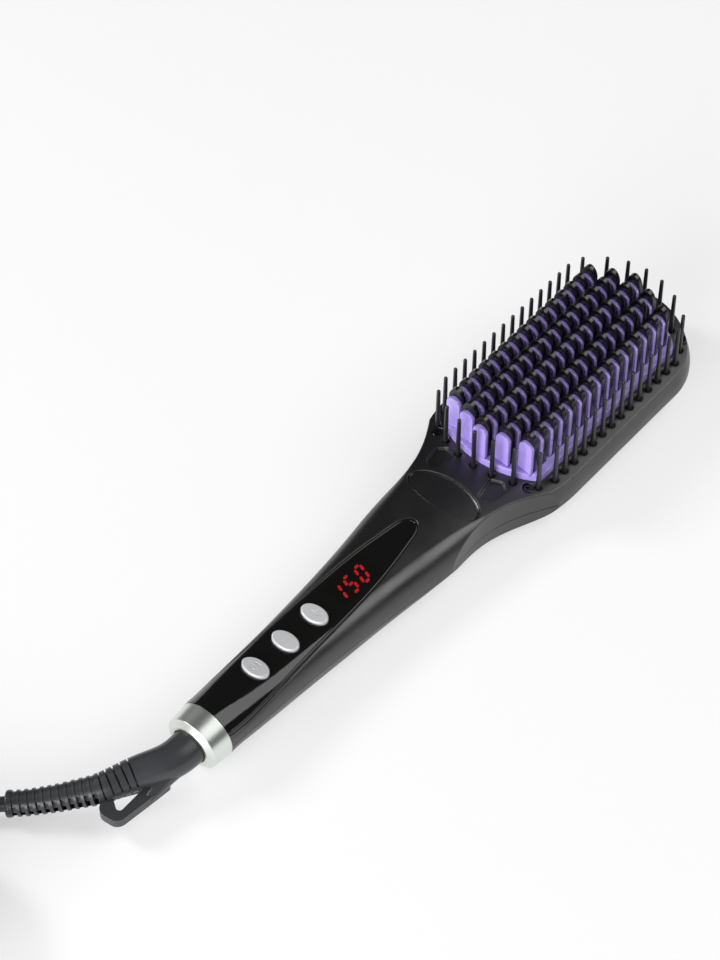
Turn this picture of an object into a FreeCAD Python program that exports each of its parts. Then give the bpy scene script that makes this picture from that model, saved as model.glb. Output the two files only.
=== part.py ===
import FreeCAD, Part

import math
import os

V = FreeCAD.Vector
Z_UP = V(0, 0, 1)

# Heated hair straightening brush with a swivel mains lead.
# Millimetres. +Z is up, +Y runs from the handle to the tip of the head, X = 0 is the middle plane.
# The origin is at the middle of the brush's length and width, on the surface it lies on.

# ---------------------------------------------------------------- driving dimensions

# casing
WALL = 2.2
CASING_TAIL_Y = -131.0
PARTING_TAIL_Z = 15.5
PARTING_LEVEL_Z = 10.0
PARTING_LEVEL_Y = -33.0
PARTING_GAP = 0.2
SIDE_HANDLE = 0.55          # pull of the casing's side curves, as a share of their own rise and width

# one row per cross section of the handle and neck:
# (y, half width, crown z, shoulder x, shoulder z, fall at the shoulder, keel half width, underside z)
CASING_SECTIONS = [
    (-118.0, 12.2, 25.7, 3.5, 25.4, 0.7, 2.5, 3.4),
    (-104.0, 12.8, 24.3, 5.5, 23.9, 0.6, 4.0, 2.3),
    (-88.0, 13.5, 23.4, 6.5, 22.9, 0.6, 4.5, 0.9),
    (-72.0, 14.5, 23.0, 7.5, 22.4, 0.6, 5.0, -0.2),
    (-52.0, 16.1, 22.7, 9.0, 22.0, 0.7, 5.5, -0.2),
    (-33.0, 18.2, 22.7, 11.0, 21.8, 0.7, 6.0, 0.8),
    (-15.0, 20.3, 22.7, 13.5, 21.5, 0.8, 7.0, 2.0),
    (-2.0, 21.3, 22.6, 16.0, 20.9, 1.0, 8.0, 2.2),
    (9.0, 23.2, 22.45, 19.5, 20.4, 1.3, 10.0, 1.6),
    (20.0, 27.0, 22.25, 24.5, 19.55, 2.2, 12.5, 0.8),
    (32.0, 31.0, 22.1, 29.3, 18.45, 3.1, 15.0, 0.1),
]
TAIL_RADIUS = 11.9
TAIL_SHOULDER_X = 2.0
TAIL_KEEL_X = 1.0

# head
HEAD_HALF_WIDTH = 32.5
HEAD_NEAR_Y = 45.0
HEAD_BLEND_END_Y = 50.0
HEAD_ROUND_Y = 111.6
HEAD_TIP_DEPTH = 28.9
HEAD_CROWN_Z = 22.07
RIM_INSET = 1.5             # from the head's widest line in to the crease of its rim
RIM_X = HEAD_HALF_WIDTH - RIM_INSET
RIM_Z = 18.0
RIM_FALL = 3.5
HEAD_KEEL_X = 16.0
HEAD_UNDERSIDE_Z = -0.3
HEAD_FORM_TOP_Z = 25.0
RIM_LEAN = 0.35

# thumb scoops at the sides of the neck, plan curve (x, y) of the +X one
SCOOP_POINTS = [(21.6, -23.0), (19.6, -11.5), (18.6, 1.0), (20.3, 12.8), (25.2, 24.8), (34.0, 39.0)]
SCOOP_OUTSIDE_X = 45.0
ABOVE_ALL_Z = 60.0          # a level above every piece, for cutting shapes

# trim plate in the neck
NECK_PLATE_Y = 3.9
NECK_PLATE_HALF_X = 16.4
NECK_PLATE_HALF_Y = 7.2
NECK_PLATE_THICKNESS = 1.1
NECK_PLATE_SINK = 0.5       # how far the trim plate lies below the neck around it
TRIM_CLEARANCE = 0.12

# grip pockets between the trim plate and the comb, plan corners of the +X one
GRIP_POCKET_POINTS = [(10.7, 11.0), (16.4, 12.8), (16.9, 20.6), (13.5, 23.3), (8.8, 20.9)]
GRIP_POCKET_ROUNDS = [0.6, 4.6, 1.8, 1.6, 0.9]
GRIP_POCKET_DEPTH = 1.25

# control panel, plan points of its +X edge from the tail to the tip
PANEL_EDGE_POINTS = [(10.6, CASING_TAIL_Y), (10.9, -110.0), (10.0, -88.0), (9.0, -57.0), (7.0, -34.0), (5.0, -21.5)]
PANEL_TIP_Y = -13.6
PANEL_SHOULDER_X = 2.75
PANEL_SHOULDER_DROP = 1.6
PANEL_THICKNESS = 1.4

# display
DISPLAY_Y = -50.4
DISPLAY_HALF_X = 6.4
DISPLAY_HALF_Y = 11.0
DISPLAY_CORNER = 1.5
DISPLAY_SLANT_DEG = 17.0
DIGIT_HEIGHT = 7.2
DIGIT_WIDTH = 3.1
DIGIT_STROKE = 1.2
DIGIT_PITCH = 6.3
SEGMENT_GAP = 0.35
SEGMENT_DEPTH = 0.5
DISPLAY_DIGITS = "150"
DISPLAY_MIDDLE_DIGIT_Y = -52.0
DISPLAY_DIGITS_X = 1.0
DISPLAY_MODULE_GAP = 0.3

# buttons, from the tail: power, minus, plus
BUTTON_Y = {"power": -104.4, "minus": -87.9, "plus": -71.6}
BUTTON_HALF_X = 5.8
BUTTON_HALF_Y = 3.75
BUTTON_RISE = 1.0
BUTTON_BEVEL = 0.4
BUTTON_CLEARANCE = 0.15
BUTTON_TRAVEL = 0.5
BUTTON_STOP_GAP = 0.08
FLANGE_DEPTH = 2.4          # from the panel's top at the button's centre down to the flange
FLANGE_LIP = 0.8
FLANGE_THICKNESS = 0.8
FLANGE_CLEARANCE = 0.3
PLUNGER_RADIUS = 1.4
HOLE_CHAMFER = 0.35
SYMBOL_DEPTH = 0.15
SYMBOL_STROKE = 0.5
SYMBOL_SIZE = 3.8

# main board
BOARD_TOP_Z = 16.4
BOARD_THICKNESS = 1.6
BOARD_HALF_WIDTH = 8.2
BOARD_TAIL_Y = -110.5
BOARD_HEAD_Y = -34.0
BOARD_CORNER = 1.5
BOARD_SCREW_PLACES = [(6.0, -80.0), (6.0, -36.6)]
BOARD_POST_RADIUS = 2.0
SMALL_SCREW_RADIUS = 0.9
SMALL_SCREW_HEAD_RADIUS = 1.8
SMALL_SCREW_HEAD_HEIGHT = 1.2
SMALL_SCREW_LENGTH = 6.0
SWITCH_SIDE = 4.5
SWITCH_HEIGHT = 1.8
SWITCH_ACTUATOR_RADIUS = 1.2
SWITCH_ACTUATOR_HEIGHT = 0.7
RELAY_SIZE = (10.0, 14.0, 7.5)
RELAY_Y = -64.0
CAPACITOR_RADIUS = 3.2
CAPACITOR_LENGTH = 9.0
CAPACITOR_Y = -92.0
CONTROLLER_SIZE = (6.0, 6.0, 1.0)
CONTROLLER_Y = -95.9
TERMINAL_SIZE = (10.0, 5.0, 4.5)
TERMINAL_BACK = 8.0

# guard pins round the comb
PIN_TIP_RADIUS = 0.76
PIN_HEIGHT = 20.3
PIN_ROOT_RADIUS = 1.0
SIDE_PIN_INSET = 4.1         # from the crease of the rim in to the side pins
SIDE_PIN_X = RIM_X - SIDE_PIN_INSET
SIDE_PIN_FIRST_Y = 38.3
SIDE_PIN_COUNT = 14
PIN_PITCH = 6.0
PIN_ARC_RADIUS = 38.2
ARC_PIN_EDGE = 2.4           # from the side pins in to the outermost pin of each arc
ARC_PIN_COUNT = 7
NEAR_ARC_Y = 60.2
FAR_ARC_Y = 93.3
PIN_HOLE_CLEARANCE = 0.15
PIN_SOCKET_RADIUS = 1.55
PIN_SOCKET_DEPTH = 0.5
PIN_FRAME_THICKNESS = 2.0
PIN_FRAME_MARGIN = 3.2
PIN_FRAME_INNER_GAP = 0.25

# heated comb
PIN_COMB_GAP = 3.2           # from the side pins in to the comb's edge
PIN_COMB_ARC_GAP = 2.6
COMB_HALF_WIDTH = SIDE_PIN_X - PIN_COMB_GAP
COMB_ARC_RADIUS = PIN_ARC_RADIUS - PIN_COMB_ARC_GAP
COMB_CORNER = 4.0
COMB_RISE = 3.5
COMB_EDGE_ROUND = 0.5
COMB_SKIN = 2.2
COMB_SIDE_WALL = 2.0
COMB_CLEARANCE = 0.2
COMB_FLANGE = 1.0
COMB_FLANGE_THICKNESS = 1.4
COMB_SEAT_GAP = 0.05
COLUMN_EDGE = 6.28           # from the outer columns' middle to the comb's edge
COLUMN_PITCH = (COMB_HALF_WIDTH - COLUMN_EDGE) / 2
ROW_PITCH = 6.0
FIRST_ROW_Y = 24.9
COLUMN_STAGGER = 3.0
COLUMN_COUNTS = (17, 16, 15)
FIN_TOP_Z = (41.4, 40.5, 39.7)
FIN_GAP = 2.5               # between the widths of neighbouring columns of fins
FIN_WIDTH = COLUMN_PITCH - FIN_GAP
FIN_THICKNESS = 1.6
FIN_ARCH = 2.9
BLADE_TOP_Z = (45.4, 44.8, 43.7)
BLADE_GAP = 2.1             # between the widths of neighbouring columns of blades
BLADE_WIDTH = COLUMN_PITCH - BLADE_GAP
BLADE_THICKNESS = 2.0
BLADE_ARCH = 5.6
TOOTH_ARCH_LIFT = 0.56      # pull of a tooth's arch where it springs, as a share of its rise
FIN_ARCH_SLIDE = 0.56       # pull at the tip of the arch, as a share of half the width
BLADE_ARCH_SLIDE = 0.44
TOOTH_SEAT_DEPTH = 1.4
TOOTH_SEAT_CLEARANCE = 0.05

# heating
HEATER_INNER_X = 4.2
HEATER_EDGE = 10.3           # from the heating strips' outer side to the comb's edge
HEATER_OUTER_X = COMB_HALF_WIDTH - HEATER_EDGE
HEATER_NEAR_Y = 38.0
HEATER_FAR_Y = 116.0
HEATER_THICKNESS = 2.4
MICA_MARGIN = 1.0
MICA_HALF_WIDTH = HEATER_OUTER_X + MICA_MARGIN
MICA_THICKNESS = 0.3
CLAMP_THICKNESS = 1.0
CLAMP_POST_RADIUS = 2.2
CLAMP_SCREW_Y = (45.0, 77.0, 109.0)
THERMISTOR_SIZE = (3.0, 6.0, 1.8)
THERMISTOR_Y = 61.0
FUSE_RADIUS = 1.7
FUSE_LENGTH = 11.0
FUSE_GAP = 3.5               # from the insulating sheet's side to the fuse's middle
FUSE_X = MICA_HALF_WIDTH + FUSE_GAP
FUSE_Y = 56.0

# casing screws
HEAD_SCREW_INSET = 4.9       # from the side pins' line in to the head screws
HEAD_SCREW_X = SIDE_PIN_X - HEAD_SCREW_INSET
HEAD_SCREW_Y = (27.9, 127.5)
HEAD_SCREW_RECESS_RADIUS = 2.3
HEAD_SCREW_RECESS_DEPTH = 1.5
HEAD_SCREW_HEAD_RADIUS = 2.1
HEAD_SCREW_HEAD_HEIGHT = 1.2
HEAD_SCREW_RADIUS = 1.1
HEAD_SCREW_CLEARANCE = 0.15
HEAD_BOSS_RADIUS = 2.9
HEAD_SCREW_END_Z = 4.5
BELLY_SCREW_Y = (-24.0, 8.0)
BELLY_SCREW_HEAD_RADIUS = 2.6
BELLY_SCREW_HEAD_HEIGHT = 1.6
BELLY_SCREW_RADIUS = 1.4
BELLY_SCREW_HEAD_Z = 4.0
BELLY_SCREW_END_Z = 17.0
BELLY_BOSS_RADIUS = 3.6
BOSS_GAP = 0.1
DRIVE_SLOT_WIDTH = 0.55
DRIVE_SLOT_DEPTH = 0.6

# chrome collar
COLLAR_FRONT_RADIUS = 12.0
COLLAR_BACK_RADIUS = 11.2
COLLAR_LENGTH = 9.6
COLLAR_CHAMFER_LENGTH = 1.5
COLLAR_CHAMFER_RADIUS = 8.5
COLLAR_BORE_RADIUS = 7.4
COLLAR_SPIGOT_LENGTH = 7.0
COLLAR_SPIGOT_RADIUS = 8.1

# swivel
SWIVEL_HOUSING_LENGTH = 6.4
SWIVEL_HOUSING_RADIUS = 7.3
SWIVEL_HOUSING_GAP = 0.2
CRADLE_GAP = 0.3
STEM_RADIUS = 3.6
STEM_FLANGE_RADIUS = 5.6
STEM_FLANGE_THICKNESS = 1.6
SWIVEL_CLEARANCE = 0.06
STEM_END_Y = -111.3
SLIP_RING_RADIUS = 4.1
SLIP_RING_WIDTH = 1.5
SLIP_RING_Y = (-115.3, -112.9)
STEM_TAIL_RADIUS = 3.0
BRUSH_BLOCK_SIZE = (9.0, 5.2, 3.4)
BRUSH_WIDTH = 3.0
BRUSH_LENGTH_Y = 1.2
BRUSH_RUNNING_GAP = 0.1

# strain relief, centre line from the collar to its free end: (x, y, z, diameter)
RELIEF_LINE = [
    (0.0, -134.0, 15.5, 14.2),
    (0.0, -141.5, 15.5, 14.2),
    (-1.2, -149.5, 15.3, 13.6),
    (-4.7, -156.2, 14.8, 12.9),
    (-8.4, -162.7, 14.0, 12.2),
    (-13.5, -172.1, 12.3, 11.4),
    (-18.5, -178.0, 11.0, 10.7),
    (-23.2, -183.3, 10.0, 10.2),
    (-29.5, -189.7, 8.8, 9.8),
    (-35.6, -195.2, 8.0, 9.6),
    (-37.1, -196.4, 7.85, 9.5),
]
RELIEF_CORE_DIAMETER = 6.6
RELIEF_END_CAP = 1.8        # length of the rounded end
RELIEF_END_DIAMETER = 9.9
RELIEF_END_ROUND = 0.8
GROOVE_PITCH = 2.87
GROOVE_FIRST = 29.6         # along the centre line, from its start inside the collar
CLOSED_GROOVES = 5          # grooves before the first windows
CLOSED_GROOVE_WIDTH = 0.65
CLOSED_GROOVE_DEPTH = 0.8
WINDOW_COUNT = 11           # pairs of side windows behind the closed grooves
WINDOW_LENGTH = 1.6
WINDOW_HALF_HEIGHT = 3.5
WINDOW_GROOVE_WIDTH = 1.8
WINDOW_GROOVE_DEPTH = 0.35
LOOP_BRANCH = [             # where the outer arm of the loop grows out of the relief: (x, y, z, diameter)
    (0.2, -143.5, 15.0, 12.2),
    (0.6, -149.5, 14.0, 9.4),
    (1.0, -156.0, 12.4, 6.6),
    (1.2, -164.0, 10.6, 3.8),
]
LOOP_LOW_Z = 8.5
LOOP_HIGH_Z = 12.5
LOOP_OUTLINE = [(-3.0, -153.0), (3.9, -154.5), (2.6, -166.5), (1.0, -179.5), (-7.6, -180.3), (-13.0, -171.0)]
LOOP_OUTLINE_ROUNDS = [1.0, 1.6, 12.0, 4.0, 4.0, 1.0]
LOOP_HOLE = [(-8.9, -171.7), (-2.0, -161.0), (-1.6, -176.6)]
LOOP_HOLE_ROUNDS = [1.0, 0.8, 1.4]

# mains lead
CORD_DIAMETER = 5.7
CORD_START_BACK = 6.0       # how far the lead reaches into the strain relief
CORD_FIRST_RUN = 20.1       # how far the lead runs straight on from the strain relief
CORD_LEAD_POINTS = [(-64.2, -229.6, 3.4), (-70.3, -247.6, 2.9)]
COIL_RADIUS = 29.0
COIL_TURNS_WIDE = 2
COIL_TURNS_HIGH = 5
COIL_EXIT_HEADING_DEG = 270.0
PLUG_LEAD_RUNS = (24.0, 20.0, 20.0, 20.0)
PLUG_LEAD_TURN_DEG = 30.0
PLUG_LEAD_DROPS = (0.25, 0.5, 0.25, 0.0)    # each run's share of the way down from the coil to the plug
PLUG_LENGTH = 30.0
PLUG_WIDTH = 33.0
PLUG_THICKNESS = 13.0
PLUG_EDGE_ROUND = 2.0
PLUG_NOSE = 9.0
PLUG_NECK_RADIUS = 5.2
PLUG_NECK_LENGTH = 9.0
PLUG_PIN_RADIUS = 2.0
PLUG_PIN_LENGTH = 19.0
PLUG_PIN_SPACING = 18.6
PLUG_PIN_SEAT = 8.0
PLUG_PIN_SEAT_RADIUS = 1.5
PLUG_PIN_TIP_ROUND = 0.9

# wires inside
WIRE_RADIUS = 0.8
HEATER_WIRE_START_X = 2.4
HEATER_WIRE_X = 5.6
HEATER_WIRE_Z = 12.4
MAINS_WIRE_X = 3.0


# ---------------------------------------------------------------- general shapes

def line(a, b):
    """Straight edge between two points."""
    return Part.LineSegment(a, b).toShape()


def bezier(points):
    """Bezier edge with these control points."""
    curve = Part.BezierCurve()
    curve.setPoles(points)
    return curve.toShape()


def spline(points):
    """Smooth edge through these points."""
    curve = Part.BSplineCurve()
    curve.interpolate(points)
    return curve.toShape()


def prism(wire, low, high):
    """Upright solid on a closed plan wire drawn at z = 0."""
    face = Part.Face(wire)
    face.translate(V(0, 0, low))
    return face.extrude(V(0, 0, high - low))


def box(x0, x1, y0, y1, z0, z1):
    """Solid box between two corners."""
    return Part.makeBox(x1 - x0, y1 - y0, z1 - z0, V(x0, y0, z0))


def cylinder(radius, start, end):
    """Solid round bar between two points."""
    way = end - start
    return Part.makeCylinder(radius, way.Length, start, way)


def ellipse_prism(half_x, half_y, low, high, y=0.0):
    """Upright elliptic solid centred on the middle plane."""
    if half_x >= half_y:
        ellipse = Part.Ellipse(V(half_x, 0, 0), V(0, half_y, 0), V(0, 0, 0))
    else:
        ellipse = Part.Ellipse(V(0, half_y, 0), V(-half_x, 0, 0), V(0, 0, 0))
    solid = prism(Part.Wire(ellipse.toShape()), low, high)
    solid.translate(V(0, y, 0))
    return solid


def rounded_polygon(points, rounds):
    """Closed plan wire of straight sides, each corner with its own radius."""
    count = len(points)
    starts, ends, arcs = [], [], []
    for i in range(count):
        corner = V(*points[i], 0)
        back = (V(*points[i - 1], 0) - corner).normalize()
        ahead = (V(*points[(i + 1) % count], 0) - corner).normalize()
        half = back.getAngle(ahead) / 2
        reach = rounds[i] / math.tan(half)
        start = corner + back * reach
        end = corner + ahead * reach
        middle_way = (back + ahead).normalize()
        middle = corner + middle_way * (rounds[i] / math.sin(half) - rounds[i])
        starts.append(start)
        ends.append(end)
        arcs.append(Part.Arc(start, middle, end).toShape())
    edges = []
    for i in range(count):
        edges.append(arcs[i])
        edges.append(line(ends[i], starts[(i + 1) % count]))
    return Part.Wire(edges)


def mirrored(shape):
    """The same shape on the other side of the middle plane."""
    return shape.mirror(V(0, 0, 0), V(1, 0, 0))


def both_sides(shape):
    """A shape and its mirror image, as a list."""
    return [shape, mirrored(shape)]


def tangent_path(points, print_as=None):
    """Wire of straight runs joined by tangent arcs, as large as the runs allow."""
    edges = []
    here = points[0]
    radii = []
    for i in range(1, len(points) - 1):
        back = points[i - 1] - points[i]
        ahead = points[i + 1] - points[i]
        half_turn = (math.pi - back.getAngle(ahead)) / 2
        reach = 0.45 * min(back.Length, ahead.Length)
        radius = reach / math.tan(half_turn)
        radii.append(round(radius, 1))
        back.normalize()
        ahead.normalize()
        start = points[i] + back * reach
        end = points[i] + ahead * reach
        middle_way = (back + ahead).normalize()
        middle = points[i] + middle_way * (radius / math.cos(half_turn) - radius)
        edges.append(line(here, start))
        edges.append(Part.Arc(start, middle, end).toShape())
        here = end
    edges.append(line(here, points[-1]))
    if print_as:
        print(print_as, "arc radii", radii)
    return Part.Wire(edges)


def tube(points, radius, print_as=None):
    """Round solid along a path of straight runs and arcs."""
    path = tangent_path(points, print_as)
    way = (points[1] - points[0]).normalize()
    profile = Part.Wire(Part.Circle(points[0], way, radius).toShape())
    solid = path.makePipeShell([profile], True, False)
    expected = math.pi * radius ** 2 * path.Length
    if print_as:
        print(print_as, "length", round(path.Length, 1), "volume share", round(solid.Volume / expected, 4))
    return solid


def save(name, solids):
    """Write one sub-part, made of one or more solids, to its STEP file."""
    parts = []
    for solid in solids:
        parts.extend(solid.Solids)
    bad = [s for s in parts if not s.isValid() or s.Volume <= 0]
    if bad or not parts:
        print("WARNING", name, "has", len(bad), "bad solids of", len(parts))
    shape = parts[0] if len(parts) == 1 else Part.makeCompound(parts)
    shape.exportStep("parts/" + name + ".step")
    bounds = shape.BoundBox
    print(name, len(parts), "solids", round(sum(s.Volume for s in parts), 1), "mm3",
          "z", round(bounds.ZMin, 2), round(bounds.ZMax, 2))
    return shape


# ---------------------------------------------------------------- casing form

def parting_z(y):
    """Height of the line where the two casings meet."""
    share = (PARTING_LEVEL_Y - y) / (PARTING_LEVEL_Y - CASING_TAIL_Y)
    return PARTING_LEVEL_Z + (PARTING_TAIL_Z - PARTING_LEVEL_Z) * max(share, 0.0)


def crown_z(x, rise=0.0):
    """Height of the head's crowned face at x, or of a surface that far above it."""
    return HEAD_CROWN_Z + rise - (HEAD_CROWN_Z - RIM_Z) * (x / RIM_X) ** 2


def casing_rows():
    """Every cross section of the casing from its tail to the head, as dictionaries."""
    keys = ("y", "half", "crown", "shoulder_x", "shoulder_z", "fall", "keel", "underside")
    top = math.sqrt(TAIL_RADIUS ** 2 - TAIL_SHOULDER_X ** 2)
    tail = (CASING_TAIL_Y, TAIL_RADIUS, PARTING_TAIL_Z + TAIL_RADIUS, TAIL_SHOULDER_X,
            PARTING_TAIL_Z + top, 0.7, TAIL_KEEL_X, PARTING_TAIL_Z - TAIL_RADIUS)
    rows = [dict(zip(keys, row)) for row in [tail] + CASING_SECTIONS]
    for y in (HEAD_NEAR_Y, HEAD_BLEND_END_Y):
        rows.append(dict(zip(keys, (y, HEAD_HALF_WIDTH, HEAD_CROWN_Z, RIM_X, RIM_Z, RIM_FALL,
                                    HEAD_KEEL_X, HEAD_UNDERSIDE_Z))))
    return rows


def scoop_edge_x(y):
    """Half width that the thumb scoops leave at y, or a large number beyond them."""
    for (x0, y0), (x1, y1) in zip(SCOOP_POINTS, SCOOP_POINTS[1:]):
        if y0 <= y <= y1:
            return x0 + (x1 - x0) * (y - y0) / (y1 - y0)
    return SCOOP_OUTSIDE_X


def inset_row(row, inset, inside_scoops):
    """A cross section moved inwards by a wall, and inside the thumb scoops if asked."""
    half = row["half"] - inset
    if inside_scoops:
        half = min(half, scoop_edge_x(row["y"]) - inset)
    shoulder = min(row["shoulder_x"], half - 0.3 * (row["half"] - row["shoulder_x"]))
    drop = (row["crown"] - row["shoulder_z"]) * (shoulder / row["shoulder_x"]) ** 2
    crown = row["crown"] - inset
    return {"y": row["y"], "half": half, "crown": crown, "shoulder_x": shoulder,
            "shoulder_z": crown - drop, "fall": row["fall"],
            "keel": row["keel"],
            "underside": max(row["underside"], 0.0) + inset if inset else row["underside"]}


def side_poles(row, parting):
    """Control points of the +X side above and below the widest line."""
    reach = row["half"] - row["shoulder_x"]
    rise = row["shoulder_z"] - parting
    upper = [V(row["shoulder_x"], row["y"], row["shoulder_z"]),
             V(row["shoulder_x"] + SIDE_HANDLE * reach, row["y"], row["shoulder_z"] - row["fall"]),
             V(row["half"], row["y"], parting + SIDE_HANDLE * rise),
             V(row["half"], row["y"], parting)]
    depth = parting - row["underside"]
    width = row["half"] - row["keel"]
    lower = [V(row["half"], row["y"], parting),
             V(row["half"], row["y"], parting - SIDE_HANDLE * depth),
             V(row["keel"] + SIDE_HANDLE * width, row["y"], row["underside"]),
             V(row["keel"], row["y"], row["underside"])]
    return upper, lower


def section_wire(row):
    """Closed cross section wire across the casing at one y."""
    parting = parting_z(row["y"])
    upper, lower = side_poles(row, parting)
    flip = lambda poles: [V(-p.x, p.y, p.z) for p in reversed(poles)]
    top_pole = V(0, row["y"], 2 * row["crown"] - row["shoulder_z"])
    keel = line(lower[-1], V(-lower[-1].x, lower[-1].y, lower[-1].z))
    top = bezier([V(-upper[0].x, upper[0].y, upper[0].z), top_pole, upper[0]])
    return Part.Wire([bezier(upper), bezier(lower), keel, bezier(flip(lower)), bezier(flip(upper)), top])


def under_crown(y0, y1, rise=0.0, low=-10.0, reach=40.0):
    """Solid below the head's crowned face, or below a surface that far above it."""
    edge = crown_z(reach, rise)
    top = bezier([V(-reach, y0, edge), V(0, y0, 2 * crown_z(0, rise) - edge), V(reach, y0, edge)])
    corners = [V(reach, y0, edge), V(reach, y0, low), V(-reach, y0, low), V(-reach, y0, edge)]
    sides = [line(corners[i], corners[i + 1]) for i in range(3)]
    return Part.Face(Part.Wire([top] + sides)).extrude(V(0, y1 - y0, 0))


def crown_sheet(wire, low_rise, high_rise):
    """Plate of a plan outline between two surfaces parallel to the crowned face."""
    bounds = wire.BoundBox
    solid = prism(wire, crown_z(RIM_X, low_rise) - 15.0, crown_z(0, high_rise) + 5.0)
    low = under_crown(bounds.YMin - 5, bounds.YMax + 5, low_rise)
    high = under_crown(bounds.YMin - 5, bounds.YMax + 5, high_rise)
    return solid.common(high).cut(low)


def head_tip(row, inset):
    """Rounded far end of the head, under the crowned face."""
    parting = parting_z(row["y"])
    upper, lower = side_poles(row, parting)
    rise = HEAD_FORM_TOP_Z - row["shoulder_z"]
    top = V(row["shoulder_x"] - RIM_LEAN * rise, row["y"], HEAD_FORM_TOP_Z)
    axis_top = V(0, row["y"], HEAD_FORM_TOP_Z)
    axis_low = V(0, row["y"], row["underside"])
    wire = Part.Wire([line(axis_low, lower[-1]), bezier(list(reversed(lower))),
                      bezier(list(reversed(upper))), line(upper[0], top),
                      line(top, axis_top), line(axis_top, axis_low)])
    solid = Part.Face(wire).revolve(V(0, row["y"], 0), Z_UP, 180)
    squeeze = FreeCAD.Matrix()
    squeeze.move(V(0, -row["y"], 0))
    squeeze.scale(1.0, (HEAD_TIP_DEPTH - inset) / (HEAD_HALF_WIDTH - inset), 1.0)
    squeeze.move(V(0, row["y"], 0))
    solid = solid.transformGeometry(squeeze)
    return solid.common(under_crown(row["y"] - 1, row["y"] + HEAD_TIP_DEPTH + 5, -inset))


def casing_form(inset=0.0, inside_scoops=False):
    """Solid of the casing's outer shape, or of a shape inside it."""
    rows = [inset_row(row, inset, inside_scoops) for row in casing_rows()]
    body = Part.makeLoft([section_wire(row) for row in rows], True, False)
    straight = Part.Face(section_wire(rows[-1])).extrude(V(0, HEAD_ROUND_Y - HEAD_BLEND_END_Y, 0))
    end_row = dict(rows[-1], y=HEAD_ROUND_Y)
    return body.fuse([straight, head_tip(end_row, inset)]).removeSplitter()


def handle_form(inset):
    """Solid of the handle's shape alone, moved inwards, as far as the neck."""
    rows = [inset_row(row, inset, False) for row in casing_rows() if row["y"] < HEAD_NEAR_Y]
    return Part.makeLoft([section_wire(row) for row in rows], True, False)


def surface_z(form, x, y):
    """Height of the top of a solid at a plan point."""
    probe = line(V(x, y, ABOVE_ALL_Z), V(x, y, PARTING_TAIL_Z)).common(form)
    return max(vertex.Z for vertex in probe.Vertexes)


def above_parting():
    """Solid of all the space above the line where the casings meet."""
    far = 200.0
    half_gap = PARTING_GAP / 2
    corners = [V(0, -far, PARTING_TAIL_Z + half_gap), V(0, CASING_TAIL_Y, PARTING_TAIL_Z + half_gap),
               V(0, PARTING_LEVEL_Y, PARTING_LEVEL_Z + half_gap), V(0, far, PARTING_LEVEL_Z + half_gap),
               V(0, far, 80), V(0, -far, 80)]
    wire = Part.makePolygon(corners + corners[:1])
    solid = Part.Face(wire).extrude(V(2 * SCOOP_OUTSIDE_X, 0, 0))
    solid.translate(V(-SCOOP_OUTSIDE_X, 0, 0))
    return solid


def thumb_scoops():
    """The two solids that cut the waist of the neck."""
    curve = spline([V(x, y, 0) for x, y in SCOOP_POINTS])
    first = V(*SCOOP_POINTS[0], 0)
    last = V(*SCOOP_POINTS[-1], 0)
    far_last = V(SCOOP_OUTSIDE_X, last.y, 0)
    far_first = V(SCOOP_OUTSIDE_X, first.y, 0)
    wire = Part.Wire([curve, line(last, far_last), line(far_last, far_first), line(far_first, first)])
    return both_sides(prism(wire, -ABOVE_ALL_Z, ABOVE_ALL_Z))


# ---------------------------------------------------------------- head layout

def ringed_outline(half_width, arc_radius, corner):
    """Closed plan wire with straight sides and arcs about the two arc centres of the head."""
    corner_x = half_width - corner
    rise = math.sqrt((arc_radius - corner) ** 2 - corner_x ** 2)
    edges = []
    for arc_y, way in ((NEAR_ARC_Y, -1), (FAR_ARC_Y, 1)):
        centre = V(corner_x, arc_y + way * rise, 0)
        out = (centre - V(0, arc_y, 0)).normalize()
        arc_end = V(0, arc_y, 0) + out * arc_radius
        side_end = V(half_width, centre.y, 0)
        middle = centre + (out + V(1, 0, 0)).normalize() * corner
        apex = V(0, arc_y + way * arc_radius, 0)
        flip = lambda p: V(-p.x, p.y, 0)
        edges.append(Part.Arc(arc_end, apex, flip(arc_end)).toShape())
        edges.append(Part.Arc(side_end, middle, arc_end).toShape())
        edges.append(Part.Arc(flip(side_end), flip(middle), flip(arc_end)).toShape())
    near_side = V(half_width, NEAR_ARC_Y - rise, 0)
    far_side = V(half_width, FAR_ARC_Y + rise, 0)
    edges.append(line(near_side, far_side))
    edges.append(line(flip(near_side), flip(far_side)))
    return Part.Wire(Part.__sortEdges__(edges))


def comb_outline(grow=0.0):
    """Plan outline of the heated comb's plate, or one that much larger."""
    return ringed_outline(COMB_HALF_WIDTH + grow, COMB_ARC_RADIUS + grow, COMB_CORNER + max(grow, -2.5))


def pin_places():
    """Plan places of the guard pins."""
    places = []
    for i in range(SIDE_PIN_COUNT):
        for side in (-1, 1):
            places.append((side * SIDE_PIN_X, SIDE_PIN_FIRST_Y + i * PIN_PITCH))
    end = SIDE_PIN_X - ARC_PIN_EDGE
    for i in range(ARC_PIN_COUNT):
        x = end * (2 * i / (ARC_PIN_COUNT - 1) - 1)
        rise = math.sqrt(PIN_ARC_RADIUS ** 2 - x ** 2)
        places.append((x, NEAR_ARC_Y - rise))
        places.append((x, FAR_ARC_Y + rise))
    return places


def tooth_places():
    """Column number, plan x and front y of every tooth of the comb."""
    places = []
    for column in range(len(COLUMN_COUNTS)):
        for side in ((1,) if column == 0 else (-1, 1)):
            for row in range(COLUMN_COUNTS[column]):
                front = FIRST_ROW_Y + column * COLUMN_STAGGER + row * ROW_PITCH
                places.append((column, side * column * COLUMN_PITCH, front))
    return places


def head_screw_places():
    """Plan places of the screws in the head's face."""
    return [(side * HEAD_SCREW_X, y) for y in HEAD_SCREW_Y for side in (-1, 1)]


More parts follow.
